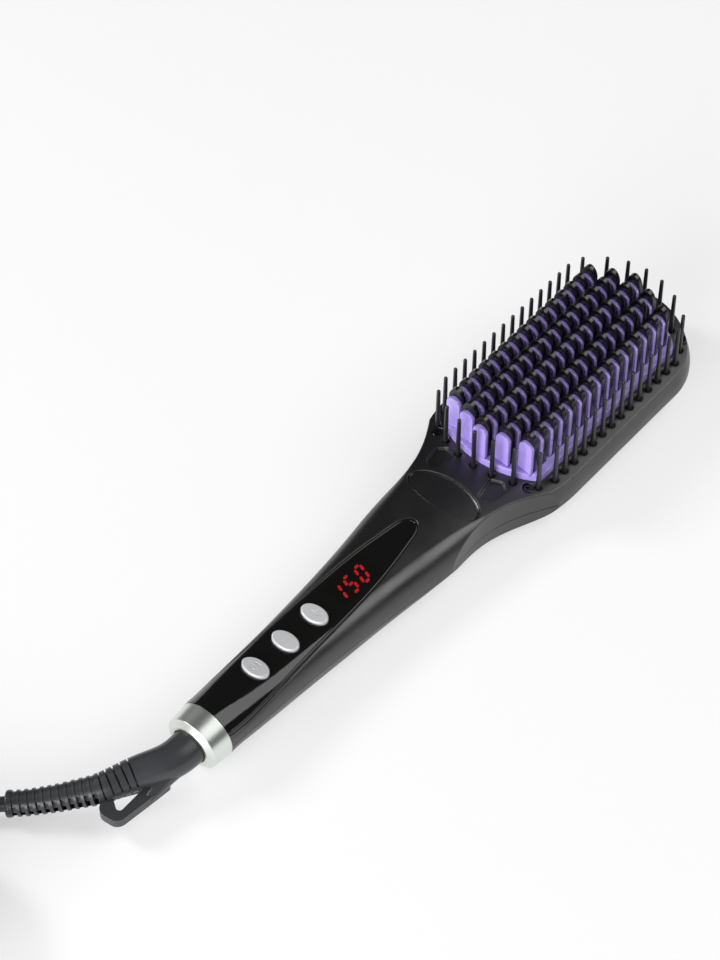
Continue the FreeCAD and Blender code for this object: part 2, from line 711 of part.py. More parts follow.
def board_screw_places():
    """Plan places of the main board's screws."""
    return [(side * x, y) for x, y in BOARD_SCREW_PLACES for side in (-1, 1)]


# ---------------------------------------------------------------- handle top

def panel_outline(grow=0.0):
    """Plan outline of the control panel, or one that much larger."""
    side = [V(x + grow, y, 0) for x, y in PANEL_EDGE_POINTS]
    tip = V(0, PANEL_TIP_Y + grow, 0)
    flip = lambda p: V(-p.x, p.y, 0)
    shoulder = V(PANEL_SHOULDER_X + grow, PANEL_TIP_Y - PANEL_SHOULDER_DROP + grow, 0)
    points = side + [shoulder, tip, flip(shoulder)] + [flip(p) for p in reversed(side)]
    return Part.Wire([spline(points), line(points[-1], points[0])])


def button_frame(outer, y):
    """Centre of a button on the handle's top and its outward axis."""
    step = BUTTON_HALF_Y
    low = surface_z(outer, 0, y - step)
    high = surface_z(outer, 0, y + step)
    axis = V(0, low - high, 2 * step).normalize()
    return V(0, y, surface_z(outer, 0, y)), axis


def on_button(solid, centre, axis):
    """Move a solid drawn about the origin to a button's place and tilt."""
    turned = solid.copy()
    turned.Placement = FreeCAD.Placement(centre, FreeCAD.Rotation(Z_UP, axis))
    return turned


def button_hole(grow, low, high):
    """Upright elliptic hole of a button, drawn about the origin."""
    return ellipse_prism(BUTTON_HALF_X + grow, BUTTON_HALF_Y + grow, low, high)


def button_symbols(name):
    """Grooves of a button's symbol, drawn about the origin on the cap's top."""
    low = BUTTON_RISE - SYMBOL_DEPTH
    high = BUTTON_RISE + 1.0
    half = SYMBOL_SIZE / 2
    thin = SYMBOL_STROKE / 2
    across = box(-thin, thin, -half, half, low, high)
    if name == "minus":
        return [across]
    along = box(-half, half, -thin, thin, low, high)
    if name == "plus":
        return [across.fuse(along)]
    inner = cylinder(half - SYMBOL_STROKE, V(0, 0, low), V(0, 0, high))
    ring = cylinder(half, V(0, 0, low), V(0, 0, high)).cut(inner)
    notch = box(-half - 1, 0, -3 * thin, 3 * thin, low, high)
    bar = box(-half - SYMBOL_STROKE, -thin, -thin, thin, low, high)
    return [ring.cut(notch), bar]


def make_button(name, centre, axis):
    """A button with its flange under the panel and its plunger over the switch."""
    flange_top = -FLANGE_DEPTH
    flange_low = flange_top - FLANGE_THICKNESS
    cap = button_hole(0, flange_low, BUTTON_RISE)
    top_edges = [e for e in cap.Edges
                 if abs(e.BoundBox.ZMin - BUTTON_RISE) < 1e-4 and e.BoundBox.ZLength < 1e-4]
    cap = cap.makeChamfer(BUTTON_BEVEL, top_edges)
    flange = button_hole(FLANGE_LIP, flange_low, flange_top)
    switch_top = BOARD_TOP_Z + SWITCH_HEIGHT + SWITCH_ACTUATOR_HEIGHT
    depth = centre.z - switch_top - BUTTON_TRAVEL - BUTTON_STOP_GAP
    plunger = cylinder(PLUNGER_RADIUS, V(0, 0, flange_low + 0.1), V(0, 0, -depth))
    solid = cap.fuse([flange, plunger]).cut(button_symbols(name))
    return on_button(solid, centre, axis)


def digit_bars(digit):
    """Names of the lit bars of one seven-segment digit."""
    lit = {"0": "abcdef", "1": "bc", "2": "abdeg", "3": "abcdg", "4": "bcfg",
           "5": "acdfg", "6": "acdefg", "7": "abc", "8": "abcdefg", "9": "abcdfg"}
    return lit[digit]


def bar_outline(bar):
    """Corners of one bar about its digit's centre, u to the right and v up as the digit is read."""
    w = DIGIT_WIDTH / 2
    h = DIGIT_HEIGHT / 2
    ends = {"a": ((-w, h), (w, h)), "g": ((-w, 0), (w, 0)), "d": ((-w, -h), (w, -h)),
            "b": ((w, 0), (w, h)), "c": ((w, -h), (w, 0)), "f": ((-w, 0), (-w, h)), "e": ((-w, -h), (-w, 0))}
    (u0, v0), (u1, v1) = ends[bar]
    length = math.hypot(u1 - u0, v1 - v0)
    du, dv = (u1 - u0) / length, (v1 - v0) / length
    half = DIGIT_STROKE / 2
    corners = []
    for along, across in ((SEGMENT_GAP, 0), (SEGMENT_GAP + half, half), (length - SEGMENT_GAP - half, half),
                          (length - SEGMENT_GAP, 0), (length - SEGMENT_GAP - half, -half),
                          (SEGMENT_GAP + half, -half)):
        corners.append((u0 + du * along - dv * across, v0 + dv * along + du * across))
    return corners


def display_bars():
    """Upright solids of every lit bar. The digits read towards +Y with their tops towards -X."""
    slant = math.tan(math.radians(DISPLAY_SLANT_DEG))
    solids = []
    for place, digit in enumerate(DISPLAY_DIGITS):
        middle_y = DISPLAY_MIDDLE_DIGIT_Y + (place - 1) * DIGIT_PITCH
        for bar in digit_bars(digit):
            corners = [V(DISPLAY_DIGITS_X - v, middle_y + u + slant * v, 0) for u, v in bar_outline(bar)]
            wire = Part.makePolygon(corners + corners[:1])
            solids.append(prism(wire, BOARD_TOP_Z, PARTING_TAIL_Z + 2 * TAIL_RADIUS))
    return solids


def display_outline(grow=0.0):
    """Plan outline of the display window, or one that much larger."""
    x, y = DISPLAY_HALF_X + grow, DISPLAY_HALF_Y + grow
    corners = [(-x, DISPLAY_Y - y), (x, DISPLAY_Y - y), (x, DISPLAY_Y + y), (-x, DISPLAY_Y + y)]
    return rounded_polygon(corners, [DISPLAY_CORNER] * 4)


# ---------------------------------------------------------------- casings

def boss_top_z(x):
    """Level of the top of a head screw's boss, just under the pin frame."""
    return crown_z(abs(x) + HEAD_BOSS_RADIUS, -WALL - PIN_FRAME_THICKNESS) - BOSS_GAP


def make_upper_shell(outer, cavity, scoops, panel_bed, buttons):
    """Upper casing: handle top, neck and the crowned face of the head."""
    shell = outer.cut(scoops).common(above_parting()).cut(cavity)
    bosses = []
    for y in BELLY_SCREW_Y:
        top = surface_z(outer, 0, y) - WALL / 2
        bosses.append(cylinder(BELLY_BOSS_RADIUS, V(0, y, PARTING_LEVEL_Z), V(0, y, top)))
    shell = shell.fuse([boss.common(outer) for boss in bosses])

    cuts = [panel_bed]
    cuts.append(plate_block(outer, NECK_PLATE_HALF_X + TRIM_CLEARANCE, NECK_PLATE_HALF_Y + TRIM_CLEARANCE))
    cuts.append(crown_sheet(comb_outline(COMB_CLEARANCE), -3 * WALL, 5.0))
    cuts.extend(grip_pockets(outer))
    for centre, axis in buttons.values():
        cuts.append(on_button(button_hole(FLANGE_LIP + FLANGE_CLEARANCE, -8, 3), centre, axis))
    cuts.append(prism(display_outline(TRIM_CLEARANCE), BOARD_TOP_Z, PARTING_TAIL_Z + 2 * TAIL_RADIUS))
    hole = cylinder(PIN_ROOT_RADIUS + PIN_HOLE_CLEARANCE, V(0, 0, -2 * WALL), V(0, 0, 2))
    socket = cylinder(PIN_SOCKET_RADIUS, V(0, 0, -PIN_SOCKET_DEPTH), V(0, 0, 2))
    pin_tool = hole.fuse(socket)
    for x, y in pin_places():
        tool = pin_tool.copy()
        tool.translate(V(x, y, crown_z(x)))
        cuts.append(tool)
    for x, y in head_screw_places():
        top = crown_z(x)
        floor = V(x, y, top - HEAD_SCREW_RECESS_DEPTH)
        cuts.append(cylinder(HEAD_SCREW_RECESS_RADIUS, floor, V(x, y, top + 3)))
        cuts.append(cylinder(HEAD_SCREW_RADIUS + HEAD_SCREW_CLEARANCE, V(x, y, 0), V(x, y, top)))
        cuts.append(cylinder(HEAD_BOSS_RADIUS + BOSS_GAP, V(x, y, 0), V(x, y, boss_top_z(x) + BOSS_GAP)))
    for y in BELLY_SCREW_Y:
        cuts.append(cylinder(BELLY_SCREW_RADIUS, V(0, y, 0), V(0, y, BELLY_SCREW_END_Z)))
    return shell.cut(cuts)


def plate_block(outer, half_x, half_y):
    """Block of the trim plate's outline between its underside and above the neck."""
    block = ellipse_prism(half_x, half_y, PARTING_LEVEL_Z, HEAD_FORM_TOP_Z, NECK_PLATE_Y)
    below = outer.copy()
    below.translate(V(0, 0, -NECK_PLATE_SINK - NECK_PLATE_THICKNESS))
    return block.cut(below)


def grip_pockets(outer):
    """Shallow leaf shaped pockets on both sides of the neck."""
    wire = rounded_polygon(GRIP_POCKET_POINTS, GRIP_POCKET_ROUNDS)
    below = outer.copy()
    below.translate(V(0, 0, -GRIP_POCKET_DEPTH))
    return both_sides(prism(wire, PARTING_LEVEL_Z, HEAD_FORM_TOP_Z).cut(below))


def make_lower_shell(outer, cavity, scoops):
    """Lower casing with its bosses, board posts and the seat of the swivel."""
    floor = box(-SCOOP_OUTSIDE_X, SCOOP_OUTSIDE_X, CASING_TAIL_Y - 10, HEAD_ROUND_Y + 2 * HEAD_TIP_DEPTH,
                0, ABOVE_ALL_Z)
    below = above_parting()
    below.translate(V(0, 0, -PARTING_GAP))
    solid = outer.cut(scoops).common(floor).cut(below)
    shell = solid.cut(cavity)
    bosses = []
    for x, y in head_screw_places():
        bosses.append(cylinder(HEAD_BOSS_RADIUS, V(x, y, WALL / 2), V(x, y, boss_top_z(x))))
    for x, y in board_screw_places():
        bosses.append(cylinder(BOARD_POST_RADIUS, V(x, y, WALL), V(x, y, BOARD_TOP_Z - BOARD_THICKNESS)))
    for y in BELLY_SCREW_Y:
        bosses.append(cylinder(BELLY_BOSS_RADIUS, V(0, y, WALL), V(0, y, PARTING_LEVEL_Z - BOSS_GAP)))
    start, end = housing_span()
    cradle = box(-TAIL_RADIUS, TAIL_RADIUS, start, end, 0, PARTING_TAIL_Z - CRADLE_GAP)
    bosses.append(cradle.cut(cylinder(SWIVEL_HOUSING_RADIUS, V(0, start - 1, PARTING_TAIL_Z),
                                      V(0, end + 1, PARTING_TAIL_Z))).cut(above_parting()))
    inside = outer.cut(scoops).common(floor)
    shell = shell.fuse([boss.common(inside) for boss in bosses])
    cuts = []
    for x, y in head_screw_places():
        cuts.append(cylinder(HEAD_SCREW_RADIUS, V(x, y, HEAD_SCREW_END_Z), V(x, y, crown_z(x))))
    for x, y in board_screw_places():
        screw_end = V(x, y, BOARD_TOP_Z - SMALL_SCREW_LENGTH)
        cuts.append(cylinder(SMALL_SCREW_RADIUS, screw_end, V(x, y, BOARD_TOP_Z)))
    for y in BELLY_SCREW_Y:
        cuts.append(cylinder(BELLY_SCREW_HEAD_RADIUS + BOSS_GAP, V(0, y, -5), V(0, y, BELLY_SCREW_HEAD_Z)))
        shank_hole = BELLY_SCREW_RADIUS + HEAD_SCREW_CLEARANCE
        cuts.append(cylinder(shank_hole, V(0, y, -5), V(0, y, PARTING_LEVEL_Z)))
    return shell.cut(cuts)


# ---------------------------------------------------------------- comb and pins

def tooth_blank(x, width, thickness, arch, slide_share, front, low, top):
    """Upright tooth with an arched top, its front face at y = front."""
    left, right = x - width / 2, x + width / 2
    spring = top - arch
    corners = [V(left, front, spring), V(left, front, low), V(right, front, low), V(right, front, spring)]
    sides = [line(corners[i], corners[i + 1]) for i in range(3)]
    lift = V(0, 0, TOOTH_ARCH_LIFT * arch)
    slide = V(slide_share * width / 2, 0, 0)
    apex = V(x, front, top)
    rise_right = bezier([corners[3], corners[3] + lift, apex + slide, apex])
    rise_left = bezier([apex, apex - slide, corners[0] + lift, corners[0]])
    return Part.Face(Part.Wire(sides + [rise_right, rise_left])).extrude(V(0, thickness, 0))


def tooth_foot_z(x, width):
    """Level of a tooth's flat foot, below the lowest side of its seat."""
    return crown_z(abs(x) + width / 2, COMB_RISE) - TOOTH_SEAT_DEPTH


def make_fins_and_blades():
    """The heated fins and the taller cool blades behind them."""
    fins, blades, seats = [], [], []
    for column, x, front in tooth_places():
        foot = tooth_foot_z(x, BLADE_WIDTH)
        fins.append(tooth_blank(x, FIN_WIDTH, FIN_THICKNESS, FIN_ARCH, FIN_ARCH_SLIDE, front, foot,
                                FIN_TOP_Z[column]))
        blades.append(tooth_blank(x, BLADE_WIDTH, BLADE_THICKNESS, BLADE_ARCH, BLADE_ARCH_SLIDE,
                                  front + FIN_THICKNESS, foot, BLADE_TOP_Z[column]))
        blade_half = BLADE_WIDTH / 2 + TOOTH_SEAT_CLEARANCE
        back = front + FIN_THICKNESS + BLADE_THICKNESS + TOOTH_SEAT_CLEARANCE
        seats.append(box(x - blade_half, x + blade_half, front - TOOTH_SEAT_CLEARANCE, back,
                         foot, FIN_TOP_Z[2]))
    return fins, blades, seats


def make_comb_plate(seats):
    """Heated plate of the comb with a flange under the face and a pocket for the heaters."""
    flange_top = -WALL - COMB_SEAT_GAP
    plate = crown_sheet(comb_outline(), flange_top - COMB_FLANGE_THICKNESS, COMB_RISE)
    top_edges = [e for e in plate.Edges
                 if e.BoundBox.ZMin > crown_z(COMB_HALF_WIDTH, COMB_RISE) - 0.2 and e.Length > 1]
    plate = plate.makeFillet(COMB_EDGE_ROUND, top_edges)
    flange = crown_sheet(comb_outline(COMB_FLANGE), flange_top - COMB_FLANGE_THICKNESS, flange_top)
    pocket_low = flange_top - 4 * COMB_FLANGE_THICKNESS
    pocket = crown_sheet(comb_outline(-COMB_SIDE_WALL), pocket_low, COMB_RISE - COMB_SKIN)
    plate = plate.fuse(flange).cut(pocket)
    under = crown_z(0, COMB_RISE - COMB_SKIN)
    posts, holes = [], []
    for y in CLAMP_SCREW_Y:
        posts.append(cylinder(CLAMP_POST_RADIUS, V(0, y, clamp_top_z()), V(0, y, under + COMB_SKIN / 2)))
        holes.append(cylinder(SMALL_SCREW_RADIUS, V(0, y, clamp_top_z() - 1), V(0, y, clamp_top_z() + 3)))
    return plate.fuse(posts).cut(holes + seats)


def heater_levels():
    """Rises of the heater's, mica's and clamp's surfaces above the crowned face, from the top down."""
    top = COMB_RISE - COMB_SKIN
    heater_low = top - HEATER_THICKNESS
    mica_low = heater_low - MICA_THICKNESS
    return top, heater_low, mica_low, mica_low - CLAMP_THICKNESS


def clamp_top_z():
    """Level of the clamp plate's top on the middle plane."""
    return crown_z(0, heater_levels()[2])


def strip_outline(x0, x1, y0, y1):
    """Plan rectangle wire."""
    corners = [V(x0, y0, 0), V(x1, y0, 0), V(x1, y1, 0), V(x0, y1, 0)]
    return Part.makePolygon(corners + corners[:1])


def make_heating(comb_plate):
    """Heating strips, insulation, clamp, its screws, sensor and fuse under the heated plate."""
    top, heater_low, mica_low, clamp_low = heater_levels()
    strip = strip_outline(HEATER_INNER_X, HEATER_OUTER_X, HEATER_NEAR_Y, HEATER_FAR_Y)
    heaters = both_sides(crown_sheet(strip, heater_low, top))
    cover = strip_outline(-MICA_HALF_WIDTH, MICA_HALF_WIDTH, HEATER_NEAR_Y, HEATER_FAR_Y)
    screw_holes, post_holes, screws = [], [], []
    for y in CLAMP_SCREW_Y:
        level = clamp_top_z()
        screw_holes.append(cylinder(SMALL_SCREW_RADIUS + 0.1, V(0, y, level - 5), V(0, y, level + 5)))
        post_holes.append(cylinder(CLAMP_POST_RADIUS + 0.1, V(0, y, level - 5), V(0, y, level + 5)))
        head_top = crown_z(SMALL_SCREW_HEAD_RADIUS, clamp_low)
        shank = cylinder(SMALL_SCREW_RADIUS, V(0, y, head_top - 0.2), V(0, y, level + 2.5))
        head_low = V(0, y, head_top - SMALL_SCREW_HEAD_HEIGHT)
        head = cylinder(SMALL_SCREW_HEAD_RADIUS, head_low, V(0, y, head_top))
        screws.append(head.fuse(shank))
    mica = crown_sheet(cover, mica_low, heater_low).cut(post_holes)
    clamp = crown_sheet(cover, clamp_low, mica_low).cut(screw_holes)
    skin = crown_z(THERMISTOR_SIZE[0] / 2, top)
    thermistor = box(-THERMISTOR_SIZE[0] / 2, THERMISTOR_SIZE[0] / 2, THERMISTOR_Y - THERMISTOR_SIZE[1] / 2,
                     THERMISTOR_Y + THERMISTOR_SIZE[1] / 2, skin - THERMISTOR_SIZE[2], skin)
    fuse_z = crown_z(FUSE_X + FUSE_RADIUS / 2, top) - FUSE_RADIUS
    fuse_end = V(FUSE_X, FUSE_Y + FUSE_LENGTH, fuse_z)
    fuse = cylinder(FUSE_RADIUS, V(FUSE_X, FUSE_Y, fuse_z), fuse_end).cut(comb_plate)
    return heaters, mica, clamp, screws, thermistor, fuse


def make_pin():
    """One guard pin, its face level at the origin, slightly tapered and with a round tip."""
    low = -WALL - PIN_FRAME_THICKNESS
    top = PIN_HEIGHT - PIN_TIP_RADIUS
    corners = [V(0, 0, low), V(PIN_ROOT_RADIUS, 0, low), V(PIN_ROOT_RADIUS, 0, 0), V(PIN_TIP_RADIUS, 0, top)]
    sides = [line(corners[i], corners[i + 1]) for i in range(len(corners) - 1)]
    bend = math.sqrt(0.5) * PIN_TIP_RADIUS
    dome = Part.Arc(corners[-1], V(bend, 0, top + bend), V(0, 0, PIN_HEIGHT)).toShape()
    axis = line(V(0, 0, PIN_HEIGHT), V(0, 0, low))
    return Part.Face(Part.Wire(sides + [dome, axis])).revolve(V(0, 0, 0), Z_UP, 360)


def make_pins_and_frame(cavity):
    """The guard pins and the frame under the face that carries them."""
    pin = make_pin()
    pins, holes = [], []
    for x, y in pin_places():
        copy = pin.copy()
        copy.translate(V(x, y, crown_z(x)))
        pins.append(copy)
        holes.append(cylinder(PIN_ROOT_RADIUS, V(x, y, crown_z(x) - 10), V(x, y, crown_z(x))))
    half = SIDE_PIN_X + PIN_FRAME_MARGIN
    outer = ringed_outline(half, PIN_ARC_RADIUS + PIN_FRAME_MARGIN, COMB_CORNER)
    frame = crown_sheet(outer, -WALL - PIN_FRAME_THICKNESS, -WALL)
    inner = crown_sheet(comb_outline(COMB_FLANGE + PIN_FRAME_INNER_GAP), -20, 10)
    for x, y in head_screw_places():
        holes.append(cylinder(HEAD_SCREW_RADIUS + HEAD_SCREW_CLEARANCE, V(x, y, 0), V(x, y, crown_z(x))))
    frame = frame.cut([inner] + holes).common(cavity)
    return pins, frame


# ---------------------------------------------------------------- screws and board

def slotted(screw, x, y, top, radius):
    """Cut a cross slot in the top of an upright screw."""
    thin = DRIVE_SLOT_WIDTH / 2
    reach = radius * 0.62
    low, high = top - DRIVE_SLOT_DEPTH, top + 1
    cross = box(x - reach, x + reach, y - thin, y + thin, low, high)
    return screw.cut(cross.fuse(box(x - thin, x + thin, y - reach, y + reach, low, high)))


def make_head_screws():
    """Screws in the face of the head."""
    screws = []
    for x, y in head_screw_places():
        seat = crown_z(x) - HEAD_SCREW_RECESS_DEPTH
        top = seat + HEAD_SCREW_HEAD_HEIGHT
        head = cylinder(HEAD_SCREW_HEAD_RADIUS, V(x, y, seat), V(x, y, top))
        rim = [e for e in head.Edges if abs(e.BoundBox.ZMin - top) < 1e-4]
        head = head.makeFillet(0.4, rim)
        shank = cylinder(HEAD_SCREW_RADIUS, V(x, y, HEAD_SCREW_END_Z), V(x, y, seat + 0.3))
        screws.append(slotted(head.fuse(shank), x, y, top, HEAD_SCREW_HEAD_RADIUS))
    return screws


def make_belly_screws():
    """Screws from below that close the handle."""
    screws = []
    for y in BELLY_SCREW_Y:
        seat = BELLY_SCREW_HEAD_Z
        head = cylinder(BELLY_SCREW_HEAD_RADIUS, V(0, y, seat - BELLY_SCREW_HEAD_HEIGHT), V(0, y, seat))
        shank = cylinder(BELLY_SCREW_RADIUS, V(0, y, seat - 0.3), V(0, y, BELLY_SCREW_END_Z))
        low = seat - BELLY_SCREW_HEAD_HEIGHT
        thin = DRIVE_SLOT_WIDTH / 2
        reach = BELLY_SCREW_HEAD_RADIUS * 0.62
        cross = box(-reach, reach, y - thin, y + thin, low - 1, low + DRIVE_SLOT_DEPTH)
        cross = cross.fuse(box(-thin, thin, y - reach, y + reach, low - 1, low + DRIVE_SLOT_DEPTH))
        screws.append(head.fuse(shank).cut(cross))
    return screws


def make_board():
    """Main board, its parts, screws and switches."""
    low = BOARD_TOP_Z - BOARD_THICKNESS
    corners = [(-BOARD_HALF_WIDTH, BOARD_TAIL_Y), (BOARD_HALF_WIDTH, BOARD_TAIL_Y),
               (BOARD_HALF_WIDTH, BOARD_HEAD_Y), (-BOARD_HALF_WIDTH, BOARD_HEAD_Y)]
    board = prism(rounded_polygon(corners, [BOARD_CORNER] * 4), low, BOARD_TOP_Z)
    holes, screws = [], []
    for x, y in board_screw_places():
        holes.append(cylinder(SMALL_SCREW_RADIUS + 0.1, V(x, y, low - 1), V(x, y, BOARD_TOP_Z + 1)))
        top = BOARD_TOP_Z + SMALL_SCREW_HEAD_HEIGHT
        head = cylinder(SMALL_SCREW_HEAD_RADIUS, V(x, y, BOARD_TOP_Z), V(x, y, top))
        tip = V(x, y, BOARD_TOP_Z - SMALL_SCREW_LENGTH)
        shank = cylinder(SMALL_SCREW_RADIUS, tip, V(x, y, (BOARD_TOP_Z + top) / 2))
        screws.append(slotted(head.fuse(shank), x, y, top, SMALL_SCREW_HEAD_RADIUS))
    board = board.cut(holes)

    half = SWITCH_SIDE / 2
    switches = []
    for y in BUTTON_Y.values():
        body = box(-half, half, y - half, y + half, BOARD_TOP_Z, BOARD_TOP_Z + SWITCH_HEIGHT)
        actuator_top = BOARD_TOP_Z + SWITCH_HEIGHT + SWITCH_ACTUATOR_HEIGHT
        actuator = cylinder(SWITCH_ACTUATOR_RADIUS, V(0, y, BOARD_TOP_Z + 1), V(0, y, actuator_top))
        switches.append(body.fuse(actuator))

    relay = box(-RELAY_SIZE[0] / 2, RELAY_SIZE[0] / 2, RELAY_Y, RELAY_Y + RELAY_SIZE[1],
                low - RELAY_SIZE[2], low)
    capacitor = cylinder(CAPACITOR_RADIUS, V(0, CAPACITOR_Y, low - CAPACITOR_RADIUS),
                         V(0, CAPACITOR_Y + CAPACITOR_LENGTH, low - CAPACITOR_RADIUS))
    chip = box(-CONTROLLER_SIZE[0] / 2, CONTROLLER_SIZE[0] / 2, CONTROLLER_Y - CONTROLLER_SIZE[1] / 2,
               CONTROLLER_Y + CONTROLLER_SIZE[1] / 2, BOARD_TOP_Z, BOARD_TOP_Z + CONTROLLER_SIZE[2])
    terminals = []
    for y in (BOARD_TAIL_Y + 1, BOARD_HEAD_Y - TERMINAL_BACK - TERMINAL_SIZE[1]):
        terminals.append(box(-TERMINAL_SIZE[0] / 2, TERMINAL_SIZE[0] / 2, y, y + TERMINAL_SIZE[1],
                             low - TERMINAL_SIZE[2], low))
    return board, screws, switches, [relay, capacitor, chip] + terminals


# ---------------------------------------------------------------- collar and swivel

def about_axis(points):
    """Solid turned about the swivel's axis from (radius, y) corners."""
    corners = [V(r, y, PARTING_TAIL_Z) for r, y in points]
    face = Part.Face(Part.makePolygon(corners + corners[:1]))
    return face.revolve(V(0, 0, PARTING_TAIL_Z), V(0, 1, 0), 360)


def make_collar():
    """Chrome ring that closes the tail of the two casings."""
    back = CASING_TAIL_Y - COLLAR_LENGTH
    spigot = COLLAR_SPIGOT_RADIUS
    return about_axis([(COLLAR_FRONT_RADIUS, CASING_TAIL_Y),
                       (COLLAR_BACK_RADIUS, back + COLLAR_CHAMFER_LENGTH),
                       (COLLAR_CHAMFER_RADIUS, back), (COLLAR_BORE_RADIUS, back),
                       (COLLAR_BORE_RADIUS, CASING_TAIL_Y + COLLAR_SPIGOT_LENGTH),
                       (spigot, CASING_TAIL_Y + COLLAR_SPIGOT_LENGTH), (spigot, CASING_TAIL_Y)])


def housing_span():
    """Y of the tail end and the head end of the swivel housing."""
    start = CASING_TAIL_Y + COLLAR_SPIGOT_LENGTH + SWIVEL_HOUSING_GAP
    return start, start + SWIVEL_HOUSING_LENGTH


def make_swivel():
    """The turning stem and the two halves of the housing that hold its flange."""
    start, end = housing_span()
    middle = (start + end) / 2
    half_flange = STEM_FLANGE_THICKNESS / 2
    root = RELIEF_LINE[0][1] - 2.0
    stem = about_axis([(0, root), (STEM_RADIUS, root), (STEM_RADIUS, middle - half_flange),
                       (STEM_FLANGE_RADIUS, middle - half_flange), (STEM_FLANGE_RADIUS, middle + half_flange),
                       (STEM_RADIUS, middle + half_flange), (STEM_RADIUS, end + 0.4),
                       (STEM_TAIL_RADIUS, end + 0.4), (STEM_TAIL_RADIUS, STEM_END_Y), (0, STEM_END_Y)])
    play = SWIVEL_CLEARANCE
    bore, groove = STEM_RADIUS + play, STEM_FLANGE_RADIUS + play
    low, high = middle - half_flange - play, middle + half_flange + play
    room = about_axis([(0, start - 1), (bore, start - 1), (bore, low), (groove, low), (groove, high),
                       (bore, high), (bore, end + 1), (0, end + 1)])
    radius = SWIVEL_HOUSING_RADIUS
    block = about_axis([(0, start), (radius, start), (radius, end), (0, end)]).cut(room)
    far = 2 * radius
    upper_space = box(-far, far, start - 5, end + 5, PARTING_TAIL_Z, PARTING_TAIL_Z + far)
    housing_upper = block.common(upper_space)
    housing_lower = block.cut(upper_space)
    return stem, housing_upper, housing_lower


def make_slip_contacts():
    """Slip rings on the stem, the block under them and its brushes."""
    rings, brushes = [], []
    half = SLIP_RING_WIDTH / 2
    for y in SLIP_RING_Y:
        rings.append(about_axis([(STEM_TAIL_RADIUS, y - half), (SLIP_RING_RADIUS, y - half),
                                 (SLIP_RING_RADIUS, y + half), (STEM_TAIL_RADIUS, y + half)]))
    top = PARTING_TAIL_Z - SLIP_RING_RADIUS - BRUSH_RUNNING_GAP
    middle = sum(SLIP_RING_Y) / 2
    block_top = top - 1.6
    block_low = block_top - BRUSH_BLOCK_SIZE[2]
    block = box(-BRUSH_BLOCK_SIZE[0] / 2, BRUSH_BLOCK_SIZE[0] / 2, middle - BRUSH_BLOCK_SIZE[1] / 2,
                middle + BRUSH_BLOCK_SIZE[1] / 2, block_low, block_top)
    for y in SLIP_RING_Y:
        brush = box(-BRUSH_WIDTH / 2, BRUSH_WIDTH / 2, y - BRUSH_LENGTH_Y / 2, y + BRUSH_LENGTH_Y / 2,
                    block_top - 1.5, top)
        brushes.append(brush)
    return rings, block.cut(brushes), brushes, block_low


# ---------------------------------------------------------------- strain relief

def relief_curve(line_points):
    """Smooth curve through (x, y, z, diameter) points."""
    curve = Part.BSplineCurve()
    curve.interpolate([V(x, y, z) for x, y, z, d in line_points])
    return curve


def relief_lengths(curve, line_points):
    """Distance along a curve of each point that it was drawn through."""
    lengths = [0.0]
    for x, y, z, d in line_points[1:]:
        lengths.append(curve.length(curve.FirstParameter, curve.parameter(V(x, y, z))))
    return lengths


def relief_diameter(distance, line_points, lengths):
    """Outer diameter at a distance along a curve."""
    for i in range(len(lengths) - 1):
        if distance <= lengths[i + 1]:
            share = (distance - lengths[i]) / (lengths[i + 1] - lengths[i])
            return line_points[i][3] + share * (line_points[i + 1][3] - line_points[i][3])
    return line_points[-1][3]


def curve_frame(curve, distance):
    """Point of a curve at a distance along it, and the way it runs there."""
    parameter = curve.parameterAtDistance(distance, curve.FirstParameter)
    return curve.value(parameter), curve.tangent(parameter)[0]


def round_loft(curve, stations):
    """Round solid along a curve through (distance, diameter) stations."""
    wires = []
    for distance, diameter in stations:
        centre, way = curve_frame(curve, distance)
        wires.append(Part.Wire(Part.Circle(centre, way, diameter / 2).toShape()))
    return Part.makeLoft(wires, True, False)


def sleeve_loft(line_points, start, end, steps):
    """Round solid along a line of points, between two distances."""
    curve = relief_curve(line_points)
    lengths = relief_lengths(curve, line_points)
    places = [start + (end - start) * i / steps for i in range(steps + 1)]
    return round_loft(curve, [(place, relief_diameter(place, line_points, lengths)) for place in places])


def groove_ring(centre, way, width, inner, outer):
    """Ring that cuts a groove round the strain relief."""
    start = centre - way * (width / 2)
    end = centre + way * (width / 2)
    return cylinder(outer, start, end).cut(cylinder(inner, start, end))


def window_cut(centre, way, across, reach):
    """Block that cuts a side window from the centre line outwards."""
    up = across.cross(way)
    half = WINDOW_LENGTH / 2
    tall = WINDOW_HALF_HEIGHT
    corners = [centre - way * half - up * tall, centre + way * half - up * tall,
               centre + way * half + up * tall, centre - way * half + up * tall]
    return Part.Face(Part.makePolygon(corners + corners[:1])).extrude(across * reach)


def relief_cuts(curve, lengths):
    """Grooves all round and windows on both sides of the strain relief."""
    cuts = []
    for i in range(CLOSED_GROOVES + WINDOW_COUNT):
        distance = GROOVE_FIRST + i * GROOVE_PITCH
        centre, way = curve_frame(curve, distance)
        radius = relief_diameter(distance, RELIEF_LINE, lengths) / 2
        if i < CLOSED_GROOVES:
            inner = radius - CLOSED_GROOVE_DEPTH
            cuts.append(groove_ring(centre, way, CLOSED_GROOVE_WIDTH, inner, 2 * radius))
            continue
        inner = radius - WINDOW_GROOVE_DEPTH
        cuts.append(groove_ring(centre, way, WINDOW_GROOVE_WIDTH, inner, 2 * radius))
        across = way.cross(V(0, 0, 1)).normalize()
        cuts.append(window_cut(centre, way, across, 2 * radius))
        cuts.append(window_cut(centre, way, across * -1, 2 * radius))
    return cuts


